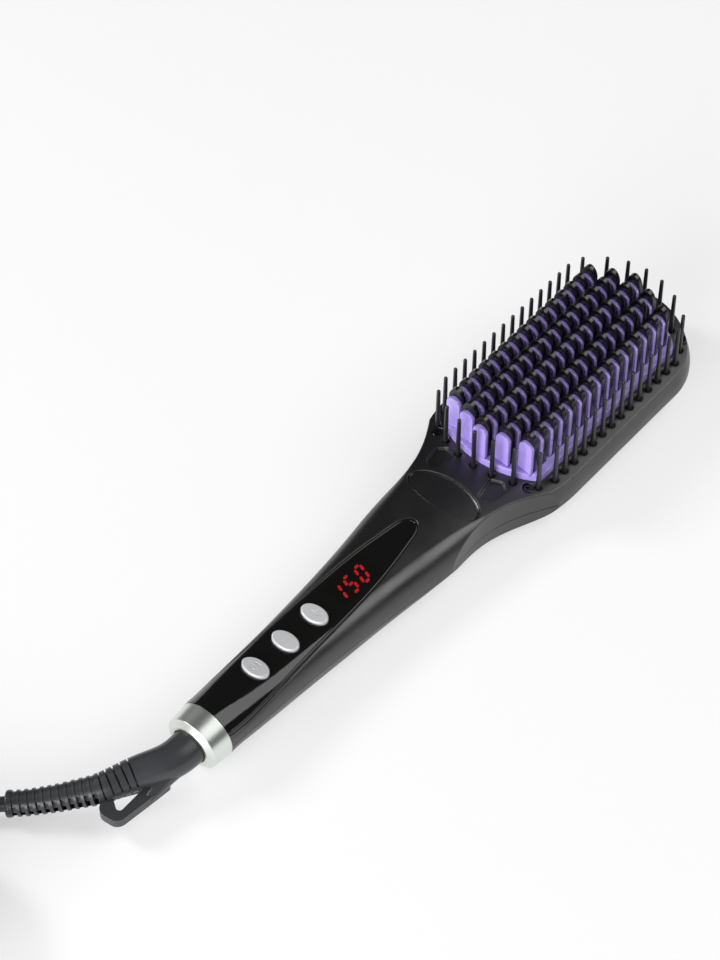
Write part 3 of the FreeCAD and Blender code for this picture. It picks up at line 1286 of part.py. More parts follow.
def relief_end_cap():
    """Rounded end of the strain relief."""
    end, way = relief_end()
    cap = cylinder(RELIEF_END_DIAMETER / 2, end - way * RELIEF_END_CAP, end)
    rim = [edge for edge in cap.Edges if edge.Length > RELIEF_END_CAP * 2
           and (edge.CenterOfMass - end).Length < RELIEF_END_CAP / 2]
    return cap.makeFillet(RELIEF_END_ROUND, rim)


def make_strain_relief():
    """Rubber strain relief: root, closed grooves, side windows round a core and a hang loop."""
    curve = relief_curve(RELIEF_LINE)
    lengths = relief_lengths(curve, RELIEF_LINE)
    total = lengths[-1]
    sleeve = sleeve_loft(RELIEF_LINE, 0, total - RELIEF_END_CAP / 2, 14)
    boot = sleeve.fuse(relief_end_cap()).cut(relief_cuts(curve, lengths))
    core_start = GROOVE_FIRST + (CLOSED_GROOVES - 1) * GROOVE_PITCH
    places = [core_start + (total - core_start - RELIEF_END_CAP / 2) * i / 6 for i in range(7)]
    core = round_loft(curve, [(place, RELIEF_CORE_DIAMETER) for place in places])
    branch_curve = relief_curve(LOOP_BRANCH)
    branch_total = relief_lengths(branch_curve, LOOP_BRANCH)[-1]
    branch = sleeve_loft(LOOP_BRANCH, 0, branch_total, 5)
    loop = prism(rounded_polygon(LOOP_OUTLINE, LOOP_OUTLINE_ROUNDS), LOOP_LOW_Z, LOOP_HIGH_Z)
    hole = prism(rounded_polygon(LOOP_HOLE, LOOP_HOLE_ROUNDS), LOOP_LOW_Z - 1, LOOP_HIGH_Z + 1)
    boot = boot.fuse([core, branch.cut(hole), loop.cut(hole)])
    end, way = relief_end()
    return boot.cut(cylinder(CORD_DIAMETER / 2, end - way * CORD_START_BACK, end + way))


# ---------------------------------------------------------------- mains lead

def relief_end():
    """Free end of the strain relief and the way it points."""
    curve = relief_curve(RELIEF_LINE)
    return curve.value(curve.LastParameter), curve.tangent(curve.LastParameter)[0]


def lead_points():
    """Route of the lead from inside the strain relief to the coil."""
    end, way = relief_end()
    return [end - way * CORD_START_BACK, end + way * CORD_FIRST_RUN] + [V(*p) for p in CORD_LEAD_POINTS]


def outer_turn_radius():
    """Radius of the middle of the coil's outer turns."""
    return COIL_RADIUS + (COIL_TURNS_WIDE - 1) * CORD_DIAMETER / 2


def coil_layout():
    """Centre of the coil on the floor, and where the lead leaves its top turn."""
    points = lead_points()
    entry = points[-1]
    way = V(entry.x - points[-2].x, entry.y - points[-2].y, 0).normalize()
    centre = V(entry.x, entry.y, 0) + V(-way.y, way.x, 0) * outer_turn_radius()
    exit_way = heading(COIL_EXIT_HEADING_DEG)
    exit_point = centre + V(exit_way.y, -exit_way.x, 0) * outer_turn_radius()
    return centre, exit_point + V(0, 0, (COIL_TURNS_HIGH - 0.5) * CORD_DIAMETER)


def heading(degrees):
    """Level unit vector that points this many degrees round from +X."""
    return V(math.cos(math.radians(degrees)), math.sin(math.radians(degrees)), 0)


def make_coil():
    """One closed solid of the coiled lead's outer shape."""
    centre = coil_layout()[0]
    half = COIL_TURNS_WIDE * CORD_DIAMETER / 2
    height = COIL_TURNS_HIGH * CORD_DIAMETER
    ring = Part.makeCylinder(COIL_RADIUS + half, height, centre).cut(
        Part.makeCylinder(COIL_RADIUS - half, height, centre))
    return ring.makeFillet(CORD_DIAMETER * 0.45, [e for e in ring.Edges if e.Closed])


def plug_layout():
    """Points of the lead from the coil to the plug, and the way the plug points."""
    points = [coil_layout()[1]]
    drop = points[0].z - PLUG_THICKNESS / 2
    for i, length in enumerate(PLUG_LEAD_RUNS):
        way = heading(COIL_EXIT_HEADING_DEG + i * PLUG_LEAD_TURN_DEG)
        points.append(points[-1] + way * length - V(0, 0, drop * PLUG_LEAD_DROPS[i]))
    return points, way


def make_plug():
    """Flat two pin plug and its pins."""
    points, way = plug_layout()
    placement = FreeCAD.Placement(points[-1], FreeCAD.Rotation(V(0, 1, 0), way))
    half = PLUG_WIDTH / 2
    neck_x = PLUG_NECK_RADIUS + 1.5
    start = PLUG_NECK_LENGTH - 2.0
    corners = [(-neck_x, start), (neck_x, start), (half, start + PLUG_NOSE), (half, start + PLUG_LENGTH),
               (-half, start + PLUG_LENGTH), (-half, start + PLUG_NOSE)]
    low = PLUG_THICKNESS / 2 - PLUG_THICKNESS - (points[-1].z - PLUG_THICKNESS / 2)
    body = prism(rounded_polygon(corners, [2.0, 2.0, 6.0, 1.5, 1.5, 6.0]), low, low + PLUG_THICKNESS)
    flat = [e for e in body.Edges if e.BoundBox.ZLength < 1e-6]
    body = body.makeFillet(PLUG_EDGE_ROUND, flat)
    body = body.fuse(cylinder(PLUG_NECK_RADIUS, V(0, 0, 0), V(0, PLUG_NECK_LENGTH, 0)))
    front = start + PLUG_LENGTH
    pins = []
    for side in (-1, 1):
        x = side * PLUG_PIN_SPACING / 2
        pin = cylinder(PLUG_PIN_RADIUS, V(x, front, 0), V(x, front + PLUG_PIN_LENGTH, 0))
        tip = [e for e in pin.Edges if abs(e.BoundBox.YMin - front - PLUG_PIN_LENGTH) < 1e-4]
        seat = cylinder(PLUG_PIN_SEAT_RADIUS, V(x, front - PLUG_PIN_SEAT, 0), V(x, front, 0))
        pins.append(pin.makeFillet(PLUG_PIN_TIP_ROUND, tip).fuse(seat))
    body = body.cut(pins)
    body.Placement = placement
    for pin in pins:
        pin.Placement = placement
    seats = [placement.multVec(V(side * PLUG_PIN_SPACING / 2, front, 0)) for side in (-1, 1)]
    print("plug pin seats", [(round(p.x, 3), round(p.y, 3), round(p.z, 3)) for p in seats],
          "way", round(way.x, 5), round(way.y, 5))
    return body, pins


# ---------------------------------------------------------------- wires

def make_heater_wires():
    """Leads from the main board to the heating strips."""
    low = BOARD_TOP_Z - BOARD_THICKNESS - TERMINAL_SIZE[2] / 2
    start_y = BOARD_HEAD_Y - TERMINAL_BACK
    end_x = HEATER_WIRE_X + 1.5
    end_z = crown_z(end_x, heater_levels()[0]) - HEATER_THICKNESS / 2
    points = [V(HEATER_WIRE_START_X, start_y, low), V(HEATER_WIRE_START_X, start_y + 6, low),
              V(HEATER_WIRE_X, start_y + 15, HEATER_WIRE_Z),
              V(HEATER_WIRE_X, HEATER_NEAR_Y - 14, HEATER_WIRE_Z),
              V(end_x, HEATER_NEAR_Y - 8.5, HEATER_WIRE_Z + 2), V(end_x, HEATER_NEAR_Y - 3.5, end_z),
              V(end_x, HEATER_NEAR_Y, end_z)]
    return both_sides(tube(points, WIRE_RADIUS))


def make_mains_wires(block_low):
    """Leads from the brush block up into the terminal on the main board."""
    level = BOARD_TOP_Z - BOARD_THICKNESS - TERMINAL_SIZE[2]
    start = V(MAINS_WIRE_X, sum(SLIP_RING_Y) / 2 + BRUSH_BLOCK_SIZE[1] / 2, block_low + 1.2)
    corner = V(MAINS_WIRE_X, BOARD_TAIL_Y + 1 + TERMINAL_SIZE[1] / 2, start.z)
    return both_sides(tube([start, corner, V(corner.x, corner.y, level)], WIRE_RADIUS))


# ---------------------------------------------------------------- the whole brush

def main():
    """Build every sub-part and write it."""
    os.makedirs("parts", exist_ok=True)
    outer = casing_form()
    cavity = casing_form(WALL, True)
    scoops = thumb_scoops()
    cavity = cavity.fuse(cylinder(COLLAR_SPIGOT_RADIUS, V(0, CASING_TAIL_Y - 1, PARTING_TAIL_Z),
                                  V(0, CASING_TAIL_Y + COLLAR_SPIGOT_LENGTH, PARTING_TAIL_Z)))
    under_panel = handle_form(PANEL_THICKNESS)
    buttons = {name: button_frame(outer, y) for name, y in BUTTON_Y.items()}
    for name, (centre, axis) in buttons.items():
        print("button", name, "z", round(centre.z, 3), "axis", round(axis.y, 5), round(axis.z, 5))

    high = PARTING_TAIL_Z + 2 * TAIL_RADIUS
    bed = prism(panel_outline(TRIM_CLEARANCE), PARTING_LEVEL_Z, high).cut(under_panel)
    save("upper_shell", [make_upper_shell(outer, cavity, scoops, bed, buttons)])
    save("lower_shell", [make_lower_shell(outer, cavity, scoops)])
    sunk = outer.copy()
    sunk.translate(V(0, 0, -NECK_PLATE_SINK))
    save("neck_plate", [plate_block(outer, NECK_PLATE_HALF_X, NECK_PLATE_HALF_Y).common(sunk)])

    panel = prism(panel_outline(), PARTING_LEVEL_Z, high).common(outer)
    panel = panel.cut(under_panel).common(above_parting())
    panel_cuts = []
    for centre, axis in buttons.values():
        hole = button_hole(BUTTON_CLEARANCE, -8, 3)
        lip = button_hole(BUTTON_CLEARANCE + HOLE_CHAMFER, -HOLE_CHAMFER, 3)
        panel_cuts.append(on_button(hole.fuse(lip), centre, axis))
    window = prism(display_outline(), BOARD_TOP_Z, high)
    lens = panel.common(window)
    panel = panel.cut(panel_cuts + [window])
    below = outer.copy()
    below.translate(V(0, 0, -SEGMENT_DEPTH))
    bars = [bar.common(outer).cut(below) for bar in display_bars()]
    save("control_panel", [panel])
    save("display_lens", [lens.cut(bars)])
    save("display_segments", bars)
    module = prism(display_outline(-DISPLAY_MODULE_GAP), BOARD_TOP_Z, high).common(under_panel)
    save("display_module", [module])
    for name, (centre, axis) in buttons.items():
        save("button_" + name, [make_button(name, centre, axis)])

    fins, blades, seats = make_fins_and_blades()
    comb_plate = make_comb_plate(seats)
    save("comb_plate", [comb_plate])
    save("heat_fins", fins)
    save("cool_tip_blades", blades)
    pins, frame = make_pins_and_frame(cavity)
    save("guard_pins", pins)
    save("pin_frame", [frame])
    heaters, mica, clamp, clamp_screws, thermistor, fuse = make_heating(comb_plate)
    save("heating_elements", heaters)
    save("mica_sheet", [mica])
    save("heater_clamp", [clamp])
    save("clamp_screws", clamp_screws)
    save("thermistor", [thermistor])
    save("thermal_fuse", [fuse])
    save("head_screws", make_head_screws())
    save("belly_screws", make_belly_screws())

    board, board_screws, switches, board_parts = make_board()
    save("main_board", [board])
    save("board_screws", board_screws)
    save("tactile_switches", switches)
    save("board_parts", board_parts)

    save("collar_ring", [make_collar()])
    stem, housing_upper, housing_lower = make_swivel()
    boot = make_strain_relief()
    save("strain_relief", [boot.cut(stem)])
    save("swivel_stem", [stem])
    save("swivel_housing_upper", [housing_upper])
    save("swivel_housing_lower", [housing_lower])
    rings, block, brushes, block_low = make_slip_contacts()
    save("slip_rings", rings)
    save("brush_block", [block])
    save("contact_brushes", brushes)
    save("mains_wires", make_mains_wires(block_low))
    save("heater_wires", make_heater_wires())

    lead = tube(lead_points(), CORD_DIAMETER / 2, "lead")
    plug_lead_points, plug_way = plug_layout()
    tail_lead = tube(plug_lead_points, CORD_DIAMETER / 2, "plug lead")
    save("cord", [lead, tail_lead])
    save("cord_coil", [make_coil()])
    plug, plug_pins = make_plug()
    save("plug_body", [plug])
    save("plug_pins", plug_pins)


main()
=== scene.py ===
"""A heated hair straightening brush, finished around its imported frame.

Every length is in metres unless its name ends in _mm, and every angle is in degrees. +X is right, +Y runs
to the tip of the head and +Z is up.
"""
import logging
import math
from dataclasses import dataclass
from enum import Enum
from typing import Sequence

import bmesh
import bpy
import numpy as np
from mathutils import Matrix, Vector


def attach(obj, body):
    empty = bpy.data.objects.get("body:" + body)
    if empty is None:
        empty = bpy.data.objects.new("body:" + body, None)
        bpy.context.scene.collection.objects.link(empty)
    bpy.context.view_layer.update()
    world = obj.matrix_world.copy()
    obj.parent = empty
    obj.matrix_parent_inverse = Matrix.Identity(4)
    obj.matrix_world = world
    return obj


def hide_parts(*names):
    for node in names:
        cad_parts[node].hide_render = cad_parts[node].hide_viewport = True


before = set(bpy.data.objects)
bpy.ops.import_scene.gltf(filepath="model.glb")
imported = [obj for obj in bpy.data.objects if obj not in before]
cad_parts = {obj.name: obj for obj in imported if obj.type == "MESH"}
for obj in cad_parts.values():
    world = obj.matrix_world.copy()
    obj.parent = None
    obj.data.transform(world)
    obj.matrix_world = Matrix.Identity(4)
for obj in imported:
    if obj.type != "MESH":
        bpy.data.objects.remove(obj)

Colour = tuple[float, float, float]
Point = tuple[float, float, float]

LOG = logging.getLogger("brush")
MM = 0.001
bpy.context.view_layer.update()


class Slot(Enum):
    """Material slots of the record that new pieces belong to."""

    CASING = "satin_black_casing"
    PANEL = "gloss_black_panel"
    RUBBER = "black_rubber"


class Body(Enum):
    """Bodies that new pieces ride on."""

    BRUSH = "body"
    LEAD = "lead"


class Arithmetic(Enum):
    """Operations of a math node."""

    BELOW = "LESS_THAN"
    LARGER = "MAXIMUM"
    TIMES = "MULTIPLY"


# ---------------------------------------------------------------- shared helpers

def add_object(name: str, data: bpy.types.ID) -> bpy.types.Object:
    """Make an object and link it into the scene.

    Args:
        name: Name of the object.
        data: Its mesh, curve, lamp or camera.

    Returns:
        The object.
    """
    piece = bpy.data.objects.new(name, data)
    bpy.context.scene.collection.objects.link(piece)
    return piece


def add_math(tree: bpy.types.NodeTree, operation: Arithmetic, first: bpy.types.NodeSocket,
             second: bpy.types.NodeSocket | float) -> bpy.types.NodeSocket:
    """Add a math node.

    Args:
        tree: Node tree to add to.
        operation: What the node works out.
        first: Socket of the first value.
        second: Socket of the second value, or that value itself.

    Returns:
        The result's socket.
    """
    node = tree.nodes.new("ShaderNodeMath")
    node.operation = operation.value
    tree.links.new(first, node.inputs[0])
    if isinstance(second, bpy.types.NodeSocket):
        tree.links.new(second, node.inputs[1])
    else:
        node.inputs[1].default_value = second
    return node.outputs[0]


def mesh_values(items: bpy.types.bpy_prop_collection, attribute: str, width: int,
                kind: type = float) -> np.ndarray:
    """Read one attribute of all of a mesh's vertices, polygons or loops.

    Args:
        items: The vertices, polygons or loops.
        attribute: Name of the attribute.
        width: How many numbers it has.
        kind: Type of the numbers.

    Returns:
        One row for each item, or one number for each where the width is 1.
    """
    values = np.empty(len(items) * width, dtype=kind)
    items.foreach_get(attribute, values)
    return values.reshape(-1, width) if width > 1 else values


# ---------------------------------------------------------------- finishes

NOISE_LOW = 0.3  # nearly all of a noise pattern lies between these two
NOISE_HIGH = 0.7
COLOUR_DETAIL = 3.0  # octaves of finer noise in the colour, in the roughness and in the grain
ROUGHNESS_DETAIL = 4.0
GRAIN_DETAIL = 2.0
EDGE_SAMPLES = 6  # rays that look for an edge near each point


@dataclass(frozen=True)
class Finish:
    """A surface finish worked out from its object's own coordinates.

    Attributes:
        name: Name of the material.
        colour: Base colour.
        roughness: Middle roughness.
        rough_spread: How far the roughness varies either way.
        rough_size: Size of the patches in which it varies.
        metallic: 1 for bare metal.
        specular: Specular level of the shader.
        mottle: Share by which the colour varies.
        mottle_size: Size of the colour's patches.
        grain_size: Size of the surface's grain.
        grain_depth: Height of the grain.
        stretch: How many times the grain is drawn out along each axis.
        coat: Weight of a clear coat.
        coat_roughness: Roughness of the coat.
        glow: Strength of the light the surface gives off.
        edge: Radius by which edges look rounded.
        edge_end: Place along Y past which they look sharp.
    """

    name: str
    colour: Colour
    roughness: float = 0.45
    rough_spread: float = 0.05
    rough_size: float = 0.012
    metallic: float = 0.0
    specular: float = 0.5
    mottle: float = 0.08
    mottle_size: float = 0.02
    grain_size: float = 0.0005
    grain_depth: float = 0.000012
    stretch: Point = (1.0, 1.0, 1.0)
    coat: float = 0.0
    coat_roughness: float = 0.05
    glow: float = 0.0
    edge: float = 0.0002
    edge_end: float | None = None

    def noise(self, tree: bpy.types.NodeTree, size: float, detail: float,
              stretched: bool = True) -> bpy.types.NodeSocket:
        """Add a noise pattern of a given size on the object's coordinates.

        Args:
            tree: Node tree of the material.
            size: Size of the pattern's patches.
            detail: Octaves of finer noise.
            stretched: Whether the pattern is drawn out by the finish's stretch.

        Returns:
            The noise's socket.
        """
        place = tree.nodes.new("ShaderNodeTexCoord")
        pattern = tree.nodes.new("ShaderNodeTexNoise")
        pattern.inputs["Scale"].default_value = 1.0 / size
        pattern.inputs["Detail"].default_value = detail
        mapping = tree.nodes.new("ShaderNodeMapping")
        if stretched:
            mapping.inputs["Scale"].default_value = [1.0 / share for share in self.stretch]
        tree.links.new(place.outputs["Object"], mapping.inputs["Vector"])
        tree.links.new(mapping.outputs["Vector"], pattern.inputs["Vector"])
        return pattern.outputs["Fac"]

    @staticmethod
    def around(tree: bpy.types.NodeTree, pattern: bpy.types.NodeSocket, middle: float,
               spread: float) -> bpy.types.NodeSocket:
        """Map a noise pattern to the values around a middle one.

        Args:
            tree: Node tree of the material.
            pattern: The noise's socket.
            middle: The middle value.
            spread: How far the values go either way.

        Returns:
            The mapped value's socket.
        """
        mapped = tree.nodes.new("ShaderNodeMapRange")
        mapped.inputs["From Min"].default_value = NOISE_LOW
        mapped.inputs["From Max"].default_value = NOISE_HIGH
        mapped.inputs["To Min"].default_value = middle - spread
        mapped.inputs["To Max"].default_value = middle + spread
        tree.links.new(pattern, mapped.inputs["Value"])
        return mapped.outputs["Result"]

    def add_colour(self, tree: bpy.types.NodeTree, shader: bpy.types.Node) -> None:
        """Give the shader its mottled colour, and its glow if it has one.

        Args:
            tree: Node tree of the material.
            shader: The shader.
        """
        mottling = self.noise(tree, self.mottle_size, COLOUR_DETAIL, stretched=False)
        tint = tree.nodes.new("ShaderNodeVectorMath")
        tint.operation = "SCALE"
        tint.inputs[0].default_value = self.colour
        tree.links.new(self.around(tree, mottling, 1.0, self.mottle), tint.inputs["Scale"])
        tree.links.new(tint.outputs["Vector"], shader.inputs["Base Color"])
        if self.glow:
            tree.links.new(tint.outputs["Vector"], shader.inputs["Emission Color"])
            shader.inputs["Emission Strength"].default_value = self.glow

    def rounded_edges(self, tree: bpy.types.NodeTree) -> bpy.types.NodeSocket:
        """Add the normal that makes edges look rounded, everywhere or up to the finish's end along Y.

        Args:
            tree: Node tree of the material.

        Returns:
            The normal's socket.
        """
        edges = tree.nodes.new("ShaderNodeBevel")
        edges.samples = EDGE_SAMPLES
        edges.inputs["Radius"].default_value = self.edge
        if self.edge_end is not None:
            place = tree.nodes.new("ShaderNodeTexCoord")
            apart = tree.nodes.new("ShaderNodeSeparateXYZ")
            tree.links.new(place.outputs["Object"], apart.inputs[0])
            before = add_math(tree, Arithmetic.BELOW, apart.outputs["Y"], self.edge_end)
            tree.links.new(add_math(tree, Arithmetic.TIMES, before, self.edge), edges.inputs["Radius"])
        return edges.outputs["Normal"]

    def add_relief(self, tree: bpy.types.NodeTree, shader: bpy.types.Node) -> None:
        """Give the shader its grain and its rounded edges.

        Args:
            tree: Node tree of the material.
            shader: The shader.
        """
        bump = tree.nodes.new("ShaderNodeBump")
        bump.inputs["Distance"].default_value = self.grain_depth
        tree.links.new(self.noise(tree, self.grain_size, GRAIN_DETAIL), bump.inputs["Height"])
        if self.edge:
            tree.links.new(self.rounded_edges(tree), bump.inputs["Normal"])
        tree.links.new(bump.outputs["Normal"], shader.inputs["Normal"])

    def build(self) -> bpy.types.Material:
        """Make the material, or find it where it is made already.

        Returns:
            The material.
        """
        made = bpy.data.materials.get(self.name)
        if made:
            return made
        material = bpy.data.materials.new(self.name)
        material.use_nodes = True
        tree = material.node_tree
        shader = tree.nodes["Principled BSDF"]
        shader.inputs["Metallic"].default_value = self.metallic
        shader.inputs["Specular IOR Level"].default_value = self.specular
        shader.inputs["Coat Weight"].default_value = self.coat
        shader.inputs["Coat Roughness"].default_value = self.coat_roughness
        self.add_colour(tree, shader)
        wear = self.noise(tree, self.rough_size, ROUGHNESS_DETAIL)
        tree.links.new(self.around(tree, wear, self.roughness, self.rough_spread), shader.inputs["Roughness"])
        self.add_relief(tree, shader)
        return material

    def dress(self, piece: bpy.types.Object) -> None:
        """Give the finish to every slot of a piece.

        Args:
            piece: The object to dress.
        """
        material = self.build()
        if not piece.data.materials:
            piece.data.materials.append(material)
        for index in range(len(piece.data.materials)):
            piece.data.materials[index] = material


CASING = Finish("satin black casing", (0.003, 0.0029, 0.0027), roughness=0.38, rough_spread=0.04,
                specular=0.95, mottle=0.12, grain_size=0.0006, grain_depth=0.000006, edge=0.0011)
RIM = Finish("smooth black rim", (0.004, 0.0039, 0.0037), roughness=0.24, rough_spread=0.04, specular=0.9,
             mottle=0.1, grain_depth=0.000002, edge=0.0)
PANEL = Finish("gloss black panel", (0.0045, 0.0045, 0.0042), roughness=0.10, rough_spread=0.03, mottle=0.05,
               grain_depth=0.0, edge=0.0006, edge_end=-0.064)
WINDOW = Finish("display window", (0.0040, 0.0036, 0.0034), roughness=0.10, rough_spread=0.03, mottle=0.05,
                grain_depth=0.0, edge=0.0)
DIGITS = Finish("lit red", (0.36, 0.0015, 0.003), roughness=0.4, mottle=0.1, mottle_size=0.002, glow=0.35,
                edge=0.0)
SILVER = Finish("satin silver", (0.70, 0.70, 0.72), roughness=0.33, metallic=0.3, mottle=0.05,
                grain_size=0.0002, grain_depth=0.000004, stretch=(12.0, 1.0, 1.0), edge=0.00015)
CHROME = Finish("brushed chrome", (0.74, 0.77, 0.73), roughness=0.33, metallic=1.0, mottle=0.04,
                grain_size=0.0004, grain_depth=0.000001, stretch=(1.0, 8.0, 1.0), edge=0.0004)
VIOLET = Finish("violet coating", (0.42, 0.315, 0.83), roughness=0.3, specular=0.6, mottle_size=0.004,
                grain_size=0.0003, grain_depth=0.000006, coat=0.5, coat_roughness=0.15, edge=0.0005)
BLADE = Finish("black blade", (0.006, 0.006, 0.0056), roughness=0.2, grain_depth=0.000003, edge=0.0004)
PIN = Finish("black pin", (0.013, 0.013, 0.014), roughness=0.36, grain_size=0.0004, grain_depth=0.000005,
             edge=0.0)
BLACK_SCREW = Finish("black zinc", (0.06, 0.06, 0.065), roughness=0.3, metallic=1.0, grain_size=0.0002,
                     edge=0.0001)
STEEL_SCREW = Finish("zinc", (0.6, 0.6, 0.62), roughness=0.3, metallic=1.0, grain_size=0.0002, edge=0.0001)
RUBBER = Finish("black rubber", (0.036, 0.037, 0.041), roughness=0.33, mottle=0.12, grain_size=0.0004,
                grain_depth=0.000008, edge=0.0)
PLUG = Finish("moulded plug", (0.028, 0.028, 0.03), grain_depth=0.00002, edge=0.0004)
NICKEL = Finish("nickel", (0.78, 0.76, 0.71), roughness=0.18, metallic=1.0, grain_size=0.0003, edge=0.0001)
NATURAL = Finish("natural plastic", (0.62, 0.60, 0.54), roughness=0.5, grain_size=0.0006)
BRASS = Finish("brass", (0.72, 0.52, 0.22), roughness=0.25, metallic=1.0)
BOARD = Finish("solder mask", (0.015, 0.11, 0.045), roughness=0.25, mottle=0.2, mottle_size=0.003)
DARK_PART = Finish("moulded part", (0.03, 0.03, 0.03), roughness=0.5)
CERAMIC = Finish("fired ceramic", (0.72, 0.69, 0.63), roughness=0.7, grain_depth=0.00003)
MICA = Finish("mica", (0.45, 0.36, 0.22), roughness=0.35, mottle=0.3, mottle_size=0.004,
              stretch=(4.0, 1.0, 1.0))
SHEET_METAL = Finish("aluminium sheet", (0.66, 0.67, 0.68), roughness=0.35, metallic=1.0,
                     stretch=(1.0, 14.0, 1.0))
WIRE = Finish("silicone wire", (0.35, 0.02, 0.015), roughness=0.5)

NODE_FINISHES = {
    CASING: ("upper_shell", "lower_shell", "neck_plate"),
    PANEL: ("control_panel",),
    WINDOW: ("display_lens",),
    DIGITS: ("display_segments",),
    SILVER: ("button_power", "button_minus", "button_plus"),
    CHROME: ("collar_ring",),
    VIOLET: ("comb_plate", "heat_fins"),
    BLADE: ("cool_tip_blades",),
    PIN: ("guard_pins", "pin_frame"),
    BLACK_SCREW: ("head_screws", "belly_screws"),
    STEEL_SCREW: ("clamp_screws", "board_screws"),
    RUBBER: ("strain_relief",),
    PLUG: ("plug_body",),
    NICKEL: ("plug_pins",),
    NATURAL: ("swivel_stem", "swivel_housing_upper", "swivel_housing_lower", "brush_block", "thermistor"),
    BRASS: ("slip_rings", "contact_brushes"),
    BOARD: ("main_board",),
    DARK_PART: ("board_parts", "tactile_switches", "display_module"),
    CERAMIC: ("heating_elements",),
    MICA: ("mica_sheet",),
    SHEET_METAL: ("heater_clamp", "thermal_fuse"),
    WIRE: ("mains_wires", "heater_wires"),
}


def dress_nodes() -> None:
    """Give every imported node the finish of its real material."""
    for finish, names in NODE_FINISHES.items():
        for name in names:
            finish.dress(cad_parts[name])
            LOG.info("dressed %s in %s", name, finish.name)


# ---------------------------------------------------------------- moulded borders

WELD_DIGITS = 6  # corners of a mesh that agree to this many decimals of a metre are one place


